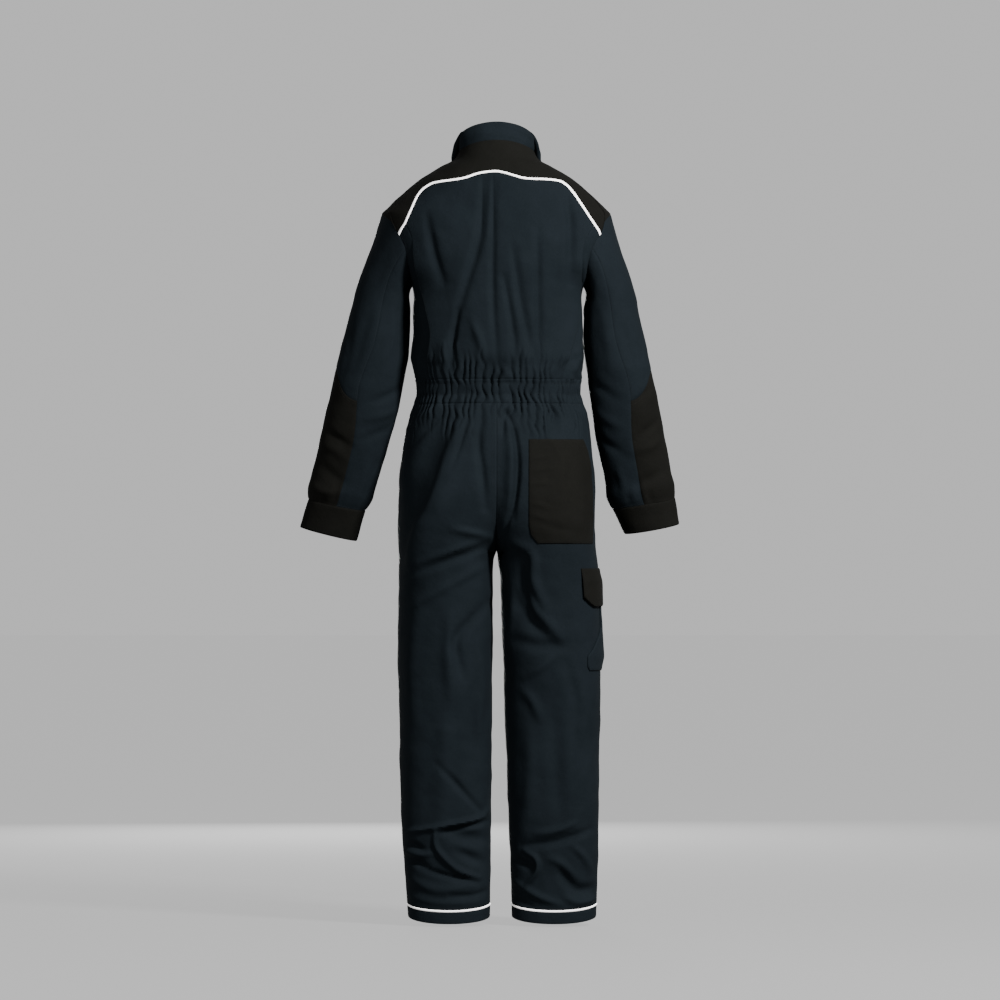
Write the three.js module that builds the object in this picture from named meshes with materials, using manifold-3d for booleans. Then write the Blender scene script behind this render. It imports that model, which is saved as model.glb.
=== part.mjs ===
import Module from 'manifold-3d';
import * as THREE from 'three';
import { mergeVertices } from 'three/addons/utils/BufferGeometryUtils.js';

// A boiler suit, filled out as worn and empty inside.
// Millimetres, +Z up, +Y towards the back, +X towards the wearer's left.
// The origin lies midway between the points where the shoulders meet the collar, at the side seams.

// Cloth and seams
const WALL = 1.6;
const SEAM = 0.3;
const HALF_SEAM = SEAM / 2;
const PIPING_WIDTH = 4.4;
const PIPING_LIFT = 0.9;
const LAP_LIFT = 1;
const SQUARENESS = 0.12;

// Heights of the main seams
const NECK_Z = -3;
const NECK_RISE = 33;
const WAIST_TOP_Z = -440;
const WAIST_Z = -488;
const ZIP_END_Z = -640;
const CROTCH_Z = -784;
const HEM_PIPING_Z = -1485;
const HEM_Z = -1513;

// Closure
const ZIP_HALF = 3.3;

// Counts
const GATHERS = 36;
const PIPING_STEPS = 14;

const RAD = Math.PI / 180;

const table = (names, rows) =>
  rows.map((row) => Object.fromEntries(names.map((name, i) => [name, row[i]])));

// Outline of the upper body: half widths to each side, depths of the back and front
const TORSO = table(['z', 'left', 'right', 'back', 'front'], [
  [44, 62, 62, 70, 40],
  [28, 71, 71, 75, 44],
  [0, 85, 85, 88, 50],
  [-12, 108, 108, 94, 54],
  [-24, 129, 129, 99, 59],
  [-48, 164, 164, 107, 72],
  [-72, 193, 192, 114, 86],
  [-96, 218, 217, 120, 98],
  [-110, 231, 229, 123, 104],
  [-150, 229, 231, 129, 115],
  [-200, 204, 207, 133, 124],
  [-252, 169, 174, 133, 128],
  [-310, 167, 171, 130, 130],
  [-380, 167, 171, 125, 128],
  [-440, 161, 168, 119, 124],
  [-470, 160, 168, 116, 122],
  [-488, 165, 174, 118, 123],
]);

// Outline of each leg from the waist down: the outer edge, the inner edge below the crotch,
// and how far the half ring has closed round the thigh
const LEG_NAMES = ['z', 'outer', 'inner', 'close', 'back', 'front'];
const LEG = {
  left: table(LEG_NAMES, [
    [-470, 163, 0, 0, 117, 122],
    [-488, 165, 0, 0, 118, 123],
    [-528, 177, 0, 0, 128, 124],
    [-576, 187, 0, 0, 140, 126],
    [-624, 193, 0, 0.12, 149, 127],
    [-672, 196, 0, 0.36, 150, 127],
    [-720, 197, 0, 0.64, 144, 124],
    [-760, 197, 0, 0.88, 134, 119],
    [-784, 196, 0.2, 1, 127, 116],
    [-800, 195, 6, 1, 123, 113],
    [-840, 195, 7, 1, 116, 108],
    [-920, 197, 7, 1, 108, 101],
    [-1000, 197, 8, 1, 101, 95],
    [-1080, 195, 9, 1, 95, 90],
    [-1200, 193, 9, 1, 86, 83],
    [-1320, 190, 11, 1, 77, 75],
    [-1400, 185, 11, 1, 70, 68],
    [-1480, 179, 13, 1, 63, 62],
    [-1520, 176, 13, 1, 61, 61],
  ]),
  right: table(LEG_NAMES, [
    [-470, 168, 0, 0, 117, 122],
    [-488, 174, 0, 0, 118, 123],
    [-528, 185, 0, 0, 128, 124],
    [-576, 191, 0, 0, 140, 126],
    [-624, 196, 0, 0.12, 149, 127],
    [-672, 197, 0, 0.36, 150, 127],
    [-720, 196, 0, 0.64, 144, 124],
    [-760, 198, 0, 0.88, 134, 119],
    [-784, 200, 0.2, 1, 127, 116],
    [-800, 202, 2, 1, 123, 113],
    [-840, 205, 7, 1, 116, 108],
    [-920, 207, 10, 1, 108, 101],
    [-1000, 207, 13, 1, 101, 95],
    [-1080, 208, 15, 1, 95, 90],
    [-1200, 205, 20, 1, 86, 83],
    [-1320, 204, 24, 1, 77, 75],
    [-1400, 203, 27, 1, 70, 68],
    [-1480, 200, 30, 1, 63, 62],
    [-1520, 199, 31, 1, 61, 61],
  ]),
};

// Sleeve sections, square to the arm: centre, half width, half depth and tilt in degrees
const SLEEVE_NAMES = ['z', 'x', 'y', 'half', 'depth', 'tilt'];
const SLEEVE = {
  left: table(SLEEVE_NAMES, [
    [-300, 230, 0, 59, 60, 11],
    [-373, 241, -1, 67.5, 61, 11],
    [-430, 253, -3, 69.5, 59, 11],
    [-493, 267, -8, 70, 55, 11],
    [-553, 282, -15, 68.5, 51, 11],
    [-613, 298, -25, 66.5, 46, 11],
    [-660, 311, -34, 64.5, 42, 11],
    [-690, 320, -40, 59.5, 38, 11.4],
  ]),
  right: table(SLEEVE_NAMES, [
    [-300, 228, 0, 54.5, 60, 9.5],
    [-373, 236.5, -1, 62, 61, 9.5],
    [-430, 246, -3, 64.5, 59, 9.5],
    [-493, 257, -8, 67, 55, 9.5],
    [-553, 268, -15, 68, 51, 9.5],
    [-613, 280, -25, 67.5, 46, 9.5],
    [-660, 288, -34, 67, 42, 9.5],
    [-686, 295, -40, 65.5, 38, 9.9],
  ]),
};
const CUFF = {
  left: { x: 337.5, y: -53, z: -748, half: 59, depth: 33, tilt: 13.9, topHalf: 58.5 },
  right: { x: 312, y: -52, z: -738, half: 56, depth: 33, tilt: 10.4, topHalf: 64 },
};

// Back edge of the armhole: its distance from the middle at each height
const ARMHOLE = {
  left: table(['z', 'x'], [
    [-110, 231], [-126, 211], [-154, 193], [-181, 181], [-205, 177], [-230, 172], [-252, 169],
  ]),
  right: table(['z', 'x'], [
    [-110, 229], [-126, 216], [-154, 205], [-181, 191], [-205, 184], [-230, 178], [-252, 174],
  ]),
};
const ARMHOLE_TOP_Z = -110;
const ARMHOLE_BOTTOM_Z = -252;
const ARMHOLE_STEPS = [0, 20, 40, 62, 68, 90, 110, 130, 150, 168, 180];
const YOKE_CORNER = 3;
const PANEL_CORNER = 4;

// Middle line of the piping under the back yoke, from the wearer's left to the right
const YOKE_LINE = table(['x', 'z'], [
  [191, -151], [183, -131], [167, -96], [153, -68], [132, -52], [111, -47], [67, -41], [37, -31],
  [7, -27], [-12, -29], [-37, -36], [-61, -41], [-119, -44], [-137, -51], [-153, -68],
  [-177, -105], [-196, -133], [-205, -151],
]);
const FRONT_LINE_MIDDLE_Z = -112;
const FRONT_LINE_SIDE_Z = -151;

// Folded edges of the centre back panel, which laps over the side back panels
const PLEAT = {
  left: table(['z', 'x'], [
    [-131, 183], [-150, 173], [-194, 165], [-246, 149], [-310, 135], [-350, 129], [-386, 131],
    [-440, 139],
  ]),
  right: table(['z', 'x'], [
    [-133, 196], [-156, 183], [-194, 169], [-258, 163], [-310, 161], [-360, 151], [-410, 137],
    [-440, 131],
  ]),
};
const PLEAT_RAISE = 3.4;
const PLEAT_SINK = 3.2;
const PLEAT_LAP = 5;

// How the folds fade out: at their ends, and near the side seams
const FOLD_END = 0.35;
const FOLD_SIDE = 45;
const TURN_STEP = 0.01;
const HEIGHT_STEP = 0.5;
const LEVEL_Z = -300;

// Largest folds: a soft ridge or trough along a line seen from the back, or from the front
const FOLD_NAMES = ['face', 'x1', 'z1', 'x2', 'z2', 'width', 'height'];
const FOLDS = table(FOLD_NAMES, [
  ['back', 28, -60, 60, -300, 16, -3.5],
  ['back', -70, -150, -86, -420, 18, -3.5],
  ['back', -140, -90, -146, -250, 15, -4],
  ['back', 132, -110, 108, -250, 15, -3],
  ['back', -30, -250, -50, -400, 16, -2.5],
  ['back', 92, -560, 174, -820, 17, 4.5],
  ['back', 60, -560, 140, -800, 15, -4],
  ['back', -85, -500, -95, -600, 15, -3],
  ['back', 160, -520, 186, -590, 18, -3],
  ['back', 120, -830, 30, -780, 18, -4],
  ['back', -30, -780, -98, -900, 17, 4],
  ['back', 75, -960, 60, -1060, 20, -3.5],
  ['back', -125, -980, -70, -1040, 20, -3],
  ['back', 185, -1335, 35, -1312, 14, 5],
  ['back', 150, -1400, 40, -1425, 15, -5],
  ['back', 90, -1455, 20, -1460, 12, 4],
  ['back', -60, -1366, -180, -1340, 14, -4],
  ['back', -150, -1425, -195, -1455, 16, -6],
  ['back', -62, -1380, -70, -1450, 15, 4.5],
  ['front', 90, -180, 60, -400, 22, -3.5],
  ['front', -90, -170, -70, -390, 22, -3.5],
  ['front', 120, -530, 40, -600, 20, -3.5],
  ['front', -120, -535, -35, -610, 20, -3.5],
  ['front', 150, -800, 40, -760, 20, -4],
  ['front', -155, -810, -45, -765, 20, -4],
  ['front', 60, -1010, 140, -1060, 20, 3.5],
  ['front', -60, -1020, -150, -1070, 20, 3.5],
  ['front', 160, -1350, 40, -1375, 15, 4.5],
  ['front', -180, -1370, -60, -1345, 15, 4.5],
  ['front', 150, -1430, 50, -1415, 15, -4.5],
  ['front', -170, -1420, -60, -1440, 15, -4.5],
]);

// Cross creases of the sleeves: height on the arm, middle angle, half angle, width, height
const SLEEVE_FOLDS = table(['z', 'angle', 'spread', 'width', 'height'], [
  [-330, 120, 60, 16, -3],
  [-452, 60, 70, 15, -4],
  [-478, 100, 50, 13, 3],
  [-560, 110, 50, 15, -3],
  [-625, 60, 60, 14, 2.5],
  [-668, 100, 70, 12, 3],
  [-450, -80, 80, 16, -4],
  [-500, -110, 50, 15, 3],
  [-640, -80, 70, 15, -2.5],
]);

// Back pocket and cargo pocket on the wearer's right leg
const BACK_POCKET = table(['z', 'inside', 'outside'], [
  [-559, 64, 172], [-582, 64, 181], [-605, 64, 186], [-640, 64, 189], [-655, 64, 190],
  [-680, 64, 191], [-705, 64, 191], [-730, 64, 191], [-750, 68, 191], [-767, 82, 191],
]);
const POCKET_COLUMNS = 9;
const BAG_LIFT = 0.8;
const CARGO_FLAP = table(['z', 'behind', 'before'], [
  [-816, 54, 54], [-845, 54, 54], [-874, 53, 53], [-892, 36, 36],
]);
const CARGO_BAG = table(['z', 'behind', 'before'], [
  [-845, 9, 50], [-874, 9, 50], [-892, 9, 50], [-938, 9, 50], [-965, 29, 50], [-990, 47, 50],
  [-1020, 43, 47],
]);

const NAVY = { color: 0x1b2730, roughness: 0.9, metalness: 0 };
const BLACK = { color: 0x17171a, roughness: 0.9, metalness: 0 };
const WHITE = { color: 0xd7d4d4, roughness: 0.7, metalness: 0 };
const METAL = { color: 0x8c8e90, roughness: 0.35, metalness: 1 };

const suit = new THREE.Group();

function addMesh(name, finish, geometry) {
  const mesh = new THREE.Mesh(geometry, new THREE.MeshStandardMaterial(finish));
  mesh.name = name;
  suit.add(mesh);
  return mesh;
}

// Smooth value of one column of a table at a height
function at(rows, key, z) {
  const last = rows.length - 1;
  if (z >= rows[0].z) return rows[0][key];
  if (z <= rows[last].z) return rows[last][key];
  let i = 0;
  while (rows[i + 1].z > z) i += 1;
  const slope = (a, b) => (rows[b][key] - rows[a][key]) / (rows[b].z - rows[a].z);
  const span = rows[i + 1].z - rows[i].z;
  const t = (z - rows[i].z) / span;
  const start = slope(Math.max(i - 1, 0), Math.min(i + 1, last)) * span;
  const end = slope(i, Math.min(i + 2, last)) * span;
  const t2 = t * t;
  const t3 = t2 * t;
  return (2 * t3 - 3 * t2 + 1) * rows[i][key] + (t3 - 2 * t2 + t) * start
    + (3 * t2 - 2 * t3) * rows[i + 1][key] + (t3 - t2) * end;
}

const mix = (a, b, t) => a + (b - a) * t;

function smooth(from, to, value) {
  const t = Math.min(Math.max((value - from) / (to - from), 0), 1);
  return t * t * (3 - 2 * t);
}

// A round ring made a little squarer: across and along for an angle
const across = (angle) => Math.cos(angle) * (1 + SQUARENESS * Math.sin(angle) ** 2);
const along = (angle) => Math.sin(angle) * (1 + SQUARENESS * Math.cos(angle) ** 2);

// The angle between 0 and pi at which a ring reaches a share of its half width
function angleFor(share) {
  let low = 0;
  let high = Math.PI;
  for (let i = 0; i < 40; i += 1) {
    const middle = (low + high) / 2;
    if (across(middle) > share) low = middle;
    else high = middle;
  }
  return (low + high) / 2;
}

function foldHeight(x, y, z) {
  const face = y >= 0 ? 'back' : 'front';
  let sum = 0;
  for (const f of FOLDS) {
    if (f.face !== face) continue;
    const dx = f.x2 - f.x1;
    const dz = f.z2 - f.z1;
    const t = ((x - f.x1) * dx + (z - f.z1) * dz) / (dx * dx + dz * dz);
    const s = Math.min(Math.max(t, 0), 1);
    const away = Math.hypot(x - f.x1 - s * dx, z - f.z1 - s * dz) / f.width;
    sum += f.height * Math.exp(-away * away) * mix(FOLD_END, 1, Math.sin(Math.PI * s));
  }
  return sum * smooth(0, FOLD_SIDE, Math.abs(y));
}

// Point and outward direction on the upper body; the angle runs from the left side over the back
function torsoBase(angle, z) {
  const half = Math.cos(angle) >= 0 ? at(TORSO, 'left', z) : at(TORSO, 'right', z);
  const depth = Math.sin(angle) >= 0 ? at(TORSO, 'back', z) : at(TORSO, 'front', z);
  return new THREE.Vector3(half * across(angle), depth * along(angle), z);
}

function torsoNormal(angle, z) {
  const round = torsoBase(angle + TURN_STEP, z).sub(torsoBase(angle - TURN_STEP, z));
  const up = torsoBase(angle, z + HEIGHT_STEP).sub(torsoBase(angle, z - HEIGHT_STEP));
  const normal = round.cross(up).normalize();
  normal.z *= smooth(WAIST_TOP_Z, LEVEL_Z, z);
  return normal.normalize();
}

function torsoPoint(angle, z, lift) {
  const p = torsoBase(angle, z);
  return p.addScaledVector(torsoNormal(angle, z), lift + foldHeight(p.x, p.y, z));
}

const torsoAngle = (side, x, z) => {
  const angle = angleFor(Math.min(x / at(TORSO, side, z), 1));
  return side === 'left' ? angle : Math.PI - angle;
};

// Point on a leg; the angle is 0 at the side seam, positive over the back, negative over the front
function legBase(side, angle, z) {
  const rows = LEG[side];
  const half = (at(rows, 'outer', z) - at(rows, 'inner', z)) / (1 + at(rows, 'close', z));
  const centre = at(rows, 'outer', z) - half;
  const depth = angle >= 0 ? at(rows, 'back', z) : at(rows, 'front', z);
  const x = centre + half * across(angle);
  return new THREE.Vector3(side === 'left' ? x : -x, depth * along(angle), z);
}

function legPoint(side, angle, z, lift) {
  const round = legBase(side, angle + TURN_STEP, z).sub(legBase(side, angle - TURN_STEP, z));
  const sign = side === 'left' ? 1 : -1;
  const normal = new THREE.Vector3(round.y * sign, -round.x * sign, 0).normalize();
  const p = legBase(side, angle, z);
  p.addScaledVector(normal, lift + foldHeight(p.x, p.y, z));
  const limit = z > CROTCH_Z ? HALF_SEAM : 0;
  if (sign * p.x < limit) p.x = sign * limit;
  return p;
}

function legAngle(side, x, z) {
  const rows = LEG[side];
  const half = (at(rows, 'outer', z) - at(rows, 'inner', z)) / (1 + at(rows, 'close', z));
  return angleFor((x - at(rows, 'outer', z) + half) / half);
}

// A closed cloth wall from matching grids of outer and inner points
function wallGeometry(outer, inner, ring = false) {
  const rows = outer.length;
  const columns = outer[0].length;
  const points = [...outer.flat(), ...inner.flat()];
  const index = (layer, j, i) => layer * rows * columns + j * columns + (i % columns);
  const faces = [];
  const quad = (a, b, c, d) => faces.push([a, b, c], [a, c, d]);
  const spans = ring ? columns : columns - 1;
  for (let j = 0; j < rows - 1; j += 1) {
    for (let i = 0; i < spans; i += 1) {
      quad(index(0, j, i), index(0, j, i + 1), index(0, j + 1, i + 1), index(0, j + 1, i));
      faces.push(
        [index(1, j, i), index(1, j + 1, i + 1), index(1, j, i + 1)],
        [index(1, j, i), index(1, j + 1, i), index(1, j + 1, i + 1)],
      );
    }
  }
  for (let i = 0; i < spans; i += 1) {
    quad(index(0, 0, i), index(1, 0, i), index(1, 0, i + 1), index(0, 0, i + 1));
    const j = rows - 1;
    quad(index(0, j, i), index(0, j, i + 1), index(1, j, i + 1), index(1, j, i));
  }
  if (!ring) {
    for (let j = 0; j < rows - 1; j += 1) {
      quad(index(0, j, 0), index(0, j + 1, 0), index(1, j + 1, 0), index(1, j, 0));
      const i = columns - 1;
      quad(index(0, j, i), index(1, j, i), index(1, j + 1, i), index(0, j + 1, i));
    }
  }
  let volume = 0;
  for (const [a, b, c] of faces) {
    volume += points[a].dot(new THREE.Vector3().crossVectors(points[b], points[c]));
  }
  const geometry = new THREE.BufferGeometry();
  geometry.setFromPoints(points);
  geometry.setIndex(faces.flatMap(([a, b, c]) => (volume > 0 ? [a, b, c] : [a, c, b])));
  return geometry;
}

const wall = (name, finish, outer, inner, ring) =>
  addMesh(name, finish, wallGeometry(outer, inner, ring));

// A wall whose grid of places is laid on a surface
function layWall(name, finish, places, point, top = () => 0, thick = WALL, ring = false) {
  const layer = (depth) => places.map((row) =>
    row.map((place) => point(place, top(place) - depth)));
  return wall(name, finish, layer(0), layer(thick), ring);
}

const onTorso = (place, lift) => torsoPoint(place.angle, place.z, lift + (place.lift ?? 0));

// The armhole's points, from the shoulder tip down the back (face 1) or the front (face -1)
function armholePlace(side, face, step) {
  const middle = (ARMHOLE_TOP_Z + ARMHOLE_BOTTOM_Z) / 2;
  const reach = (ARMHOLE_TOP_Z - ARMHOLE_BOTTOM_Z) / 2;
  const z = middle + reach * Math.cos(step * RAD);
  const end = step === 0 || step === 180;
  const inward = end ? 0 : torsoAngle('left', at(ARMHOLE[side], 'x', z) / at(TORSO, side, z)
    * at(TORSO, 'left', z), z);
  const angle = side === 'left' ? inward : Math.PI - inward;
  return { angle: face * angle, z };
}

const armhole = (side, face) => ARMHOLE_STEPS.map((step) => armholePlace(side, face, step));

// Places along a line given by x and z, moved square to the line by an offset
function yokeLinePoint(share) {
  const count = YOKE_LINE.length - 1;
  const i = Math.min(Math.floor(share * count), count - 1);
  const t = share * count - i;
  const before = YOKE_LINE[Math.max(i - 1, 0)];
  const a = YOKE_LINE[i];
  const b = YOKE_LINE[i + 1];
  const after = YOKE_LINE[Math.min(i + 2, count)];
  const value = (key) => 0.5 * (2 * a[key] + (b[key] - before[key]) * t
    + (2 * before[key] - 5 * a[key] + 4 * b[key] - after[key]) * t * t
    + (3 * a[key] - before[key] - 3 * b[key] + after[key]) * t * t * t);
  return { x: value('x'), z: value('z') };
}

function yokeLinePlace(share, offset) {
  const step = 0.004;
  const p = yokeLinePoint(share);
  const a = yokeLinePoint(Math.max(share - step, 0));
  const b = yokeLinePoint(Math.min(share + step, 1));
  const length = Math.hypot(b.x - a.x, b.z - a.z);
  const x = p.x - ((b.z - a.z) / length) * offset;
  const z = p.z + ((b.x - a.x) / length) * offset;
  const side = x >= 0 ? 'left' : 'right';
  return { angle: torsoAngle(side, Math.abs(x), z), z };
}

// Shares of the piping line where the panels have their columns, the pleat edges among them
const PLEAT_SHARE = { left: 1 / 17, right: 16 / 17 };
const lineShares = [];
for (let i = 0; i <= PIPING_STEPS; i += 1) {
  lineShares.push(mix(PLEAT_SHARE.left, PLEAT_SHARE.right, i / PIPING_STEPS));
}

const EDGE = PIPING_WIDTH / 2;
const SIDE_BACK_COLUMNS = 3;

// The whole back line between both armholes, with the short runs outside the pleats divided evenly
function backLine(offset, leftEnd, rightEnd) {
  const middle = lineShares.map((share) => yokeLinePlace(share, offset));
  const run = (end, near) => {
    const places = [];
    for (let i = 0; i < SIDE_BACK_COLUMNS; i += 1) {
      const t = i / SIDE_BACK_COLUMNS;
      places.push({ angle: mix(end.angle, near.angle, t), z: mix(end.z, near.z, t) });
    }
    return places;
  };
  const last = middle[middle.length - 1];
  return [...run(leftEnd, middle[0]), ...middle, ...run(rightEnd, last).reverse()];
}

// The front yoke line: a gentle curve from the zip to the armhole
const FRONT_STEPS = 5;
const ZIP_EDGE = ZIP_HALF + SEAM;
function frontLine(side, offset, stop) {
  const end = armholePlace(side, -1, stop);
  const places = [];
  for (let i = 0; i < FRONT_STEPS; i += 1) {
    const t = i / FRONT_STEPS;
    const z = mix(FRONT_LINE_MIDDLE_Z, FRONT_LINE_SIDE_Z, t * t) + offset;
    const start = torsoAngle(side, ZIP_EDGE, z);
    const finish = Math.abs(end.angle);
    places.push({ angle: -mix(start, finish, t), z });
  }
  places.push(end);
  return places;
}

// Yoke: from the neck seam to the piping, over both shoulders
function yokeLowerEdge() {
  const corner = ARMHOLE_STEPS.slice(0, YOKE_CORNER + 1);
  const over = (side) => [
    ...corner.slice(1).reverse().map((step) => armholePlace(side, -1, step)),
    ...corner.map((step) => armholePlace(side, 1, step)),
  ];
  const offset = -(EDGE + SEAM * 2);
  const stop = ARMHOLE_STEPS[YOKE_CORNER];
  const left = [...frontLine('left', EDGE + SEAM, stop).slice(0, -1), ...over('left')];
  const right = [...frontLine('right', EDGE + SEAM, stop).slice(0, -1), ...over('right')];
  const ends = ['left', 'right'].map((side) => armholePlace(side, 1, stop));
  return [...left.slice(0, -1), ...backLine(offset, ...ends), ...right.slice(0, -1).reverse()];
}

const neckZ = (angle) => NECK_Z + NECK_RISE * Math.sin(angle);
const yokeEdge = yokeLowerEdge();
const YOKE_ROWS = 4;

// Where the back yoke line turns down towards the armhole, and its place on the neck seam
const CORNER_Z = -62;
const CORNER_ANGLE = 36 * RAD;

// A place on the neck seam, round which the turn runs from the left side over the back
function neckPlace(turn) {
  const z = neckZ(turn);
  const side = Math.cos(turn) >= 0 ? 'left' : 'right';
  const x = at(TORSO, side, NECK_Z) * Math.abs(across(turn));
  const angle = torsoAngle(side, x, z);
  return { turn, angle: Math.sin(turn) >= 0 ? angle : -angle, z };
}

// The neck seam shares out its length as the yoke's lower edge does, between zip, shoulders and zip
function neckSeam() {
  const points = yokeEdge.map(({ angle, z }) => torsoBase(angle, z));
  const run = [0];
  for (let i = 1; i < points.length; i += 1) {
    run.push(run[i - 1] + points[i].distanceTo(points[i - 1]));
  }
  const tipLeft = yokeEdge.findIndex(({ angle }) => angle === 0);
  const tipRight = yokeEdge.findIndex(({ angle, z }) => angle === Math.PI && z === ARMHOLE_TOP_Z);
  const high = (place, i) => i > tipLeft + YOKE_CORNER && i < tipRight && place.z > CORNER_Z;
  const cornerLeft = yokeEdge.findIndex(high);
  const cornerRight = yokeEdge.findLastIndex(high);
  const zipLeft = -angleFor(ZIP_EDGE / at(TORSO, 'left', NECK_Z));
  const stops = [
    [0, zipLeft],
    [tipLeft, 0],
    [cornerLeft, CORNER_ANGLE],
    [cornerRight, Math.PI - CORNER_ANGLE],
    [tipRight, Math.PI],
    [points.length - 1, Math.PI - zipLeft],
  ];
  return yokeEdge.map((place, i) => {
    const k = Math.max(stops.findIndex(([stop]) => i <= stop) - 1, 0);
    const [from, start] = stops[k];
    const [to, end] = stops[k + 1];
    return neckPlace(mix(start, end, (run[i] - run[from]) / (run[to] - run[from])));
  });
}
const neckPlaces = neckSeam();

function between(first, last, rows, ease = (t) => t) {
  const grid = [];
  for (let j = 0; j <= rows; j += 1) {
    const t = ease(j / rows);
    grid.push(first.map((place, i) => {
      let turn = last[i].angle - place.angle;
      if (turn > Math.PI) turn -= 2 * Math.PI;
      if (turn < -Math.PI) turn += 2 * Math.PI;
      return { angle: place.angle + turn * t, z: mix(place.z, last[i].z, t) };
    }));
  }
  return grid;
}

layWall('yoke', BLACK, between(neckPlaces, yokeEdge, YOKE_ROWS, (t) => t ** 0.8), onTorso);

// Collar: a stand band that leans forward and follows the neck seam
const COLLAR_TOP = { z: 29, rise: 37, half: 84, back: 65, front: 69 };
const COLLAR_ROWS = 3;
const collarRows = { outer: [], inner: [] };
for (let j = 0; j <= COLLAR_ROWS; j += 1) {
  const t = j / COLLAR_ROWS;
  const outerRow = [];
  const innerRow = [];
  for (const { angle, z, turn } of neckPlaces) {
    const normal = torsoNormal(angle, z);
    const seam = torsoPoint(angle, z, 0);
    const up = torsoPoint(angle, z + 1, 0).sub(seam).normalize();
    const depth = Math.sin(turn) > 0 ? COLLAR_TOP.back : COLLAR_TOP.front;
    const top = new THREE.Vector3(
      COLLAR_TOP.half * across(turn),
      depth * along(turn),
      COLLAR_TOP.z + COLLAR_TOP.rise * Math.sin(turn),
    );
    if (Math.sin(turn) < 0 && Math.abs(top.x) < ZIP_EDGE * 3) {
      top.x = Math.sign(seam.x) * Math.max(Math.abs(seam.x), ZIP_EDGE);
    }
    const flat = new THREE.Vector3(depth * Math.cos(turn), COLLAR_TOP.half * Math.sin(turn), 0)
      .normalize();
    const bulge = 2 * Math.sin(Math.PI * t);
    const p = seam.clone().addScaledVector(up, SEAM).lerp(top, t).addScaledVector(flat, bulge);
    const inwards = normal.clone().lerp(flat, smooth(0, 0.4, t)).normalize();
    if (Math.abs(p.x) < ZIP_EDGE * 2) inwards.x = 0;
    outerRow.push(p);
    innerRow.push(p.clone().addScaledVector(inwards, -WALL));
  }
  collarRows.outer.push(outerRow);
  collarRows.inner.push(innerRow);
}
wall('collar', NAVY, collarRows.outer, collarRows.inner);

// Piping at the yoke's lower edges
function pipingEdge(side, edge, stepShift) {
  const corner = edge > 0 ? YOKE_CORNER : PANEL_CORNER;
  return armholePlace(side, 1, ARMHOLE_STEPS[corner] + stepShift);
}
const END_SHIFT = 0.35;
const pipingTop = backLine(
  -EDGE,
  pipingEdge('left', 1, END_SHIFT),
  pipingEdge('right', 1, END_SHIFT),
);
const pipingBottom = backLine(
  EDGE,
  pipingEdge('left', -1, -END_SHIFT),
  pipingEdge('right', -1, -END_SHIFT),
);
const pipingTopLift = () => PIPING_LIFT;
const PIPING_THICK = WALL + PIPING_LIFT;
layWall('yoke_piping_back', WHITE, [pipingTop, pipingBottom], onTorso, pipingTopLift, PIPING_THICK);
for (const side of ['left', 'right']) {
  const rows = [
    frontLine(side, EDGE, ARMHOLE_STEPS[YOKE_CORNER] + END_SHIFT),
    frontLine(side, -EDGE, ARMHOLE_STEPS[PANEL_CORNER] - END_SHIFT),
  ];
  layWall(`yoke_piping_front_${side}`, WHITE, rows, onTorso, pipingTopLift, PIPING_THICK);
}

// Centre back panel, lifted along its folded side edges
const BACK_ROWS = 12;
const panelTop = lineShares.map((share) => yokeLinePlace(share, EDGE + SEAM));
const pleatAngle = (side, z) => torsoAngle(side, at(PLEAT[side], 'x', z), z);
const pleatDepth = (z) => smooth(-138, -185, z) * smooth(-438, -405, z);
const pleatLap = (z) => smooth(-180, -230, z) * smooth(-405, -370, z);
const backPanel = [];
for (let j = 0; j <= BACK_ROWS; j += 1) {
  const t = j / BACK_ROWS;
  backPanel.push(panelTop.map((place, i) => {
    const u = i / PIPING_STEPS;
    const z = mix(place.z, WAIST_TOP_Z + HALF_SEAM, t);
    const spread = (h) => mix(at(PLEAT.left, 'x', h), -at(PLEAT.right, 'x', h), u);
    const head = torsoBase(place.angle, place.z).x - spread(place.z);
    const x = spread(z) + head * (1 - smooth(0, 0.25, t));
    const angle = j === 0 ? place.angle : torsoAngle(x >= 0 ? 'left' : 'right', Math.abs(x), z);
    const side = Math.max(0, 1 - Math.min(u, 1 - u) * 7);
    return { angle, z, lift: PLEAT_RAISE * side * pleatDepth(z) };
  }));
}
layWall('back_panel', NAVY, backPanel, onTorso);

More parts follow.
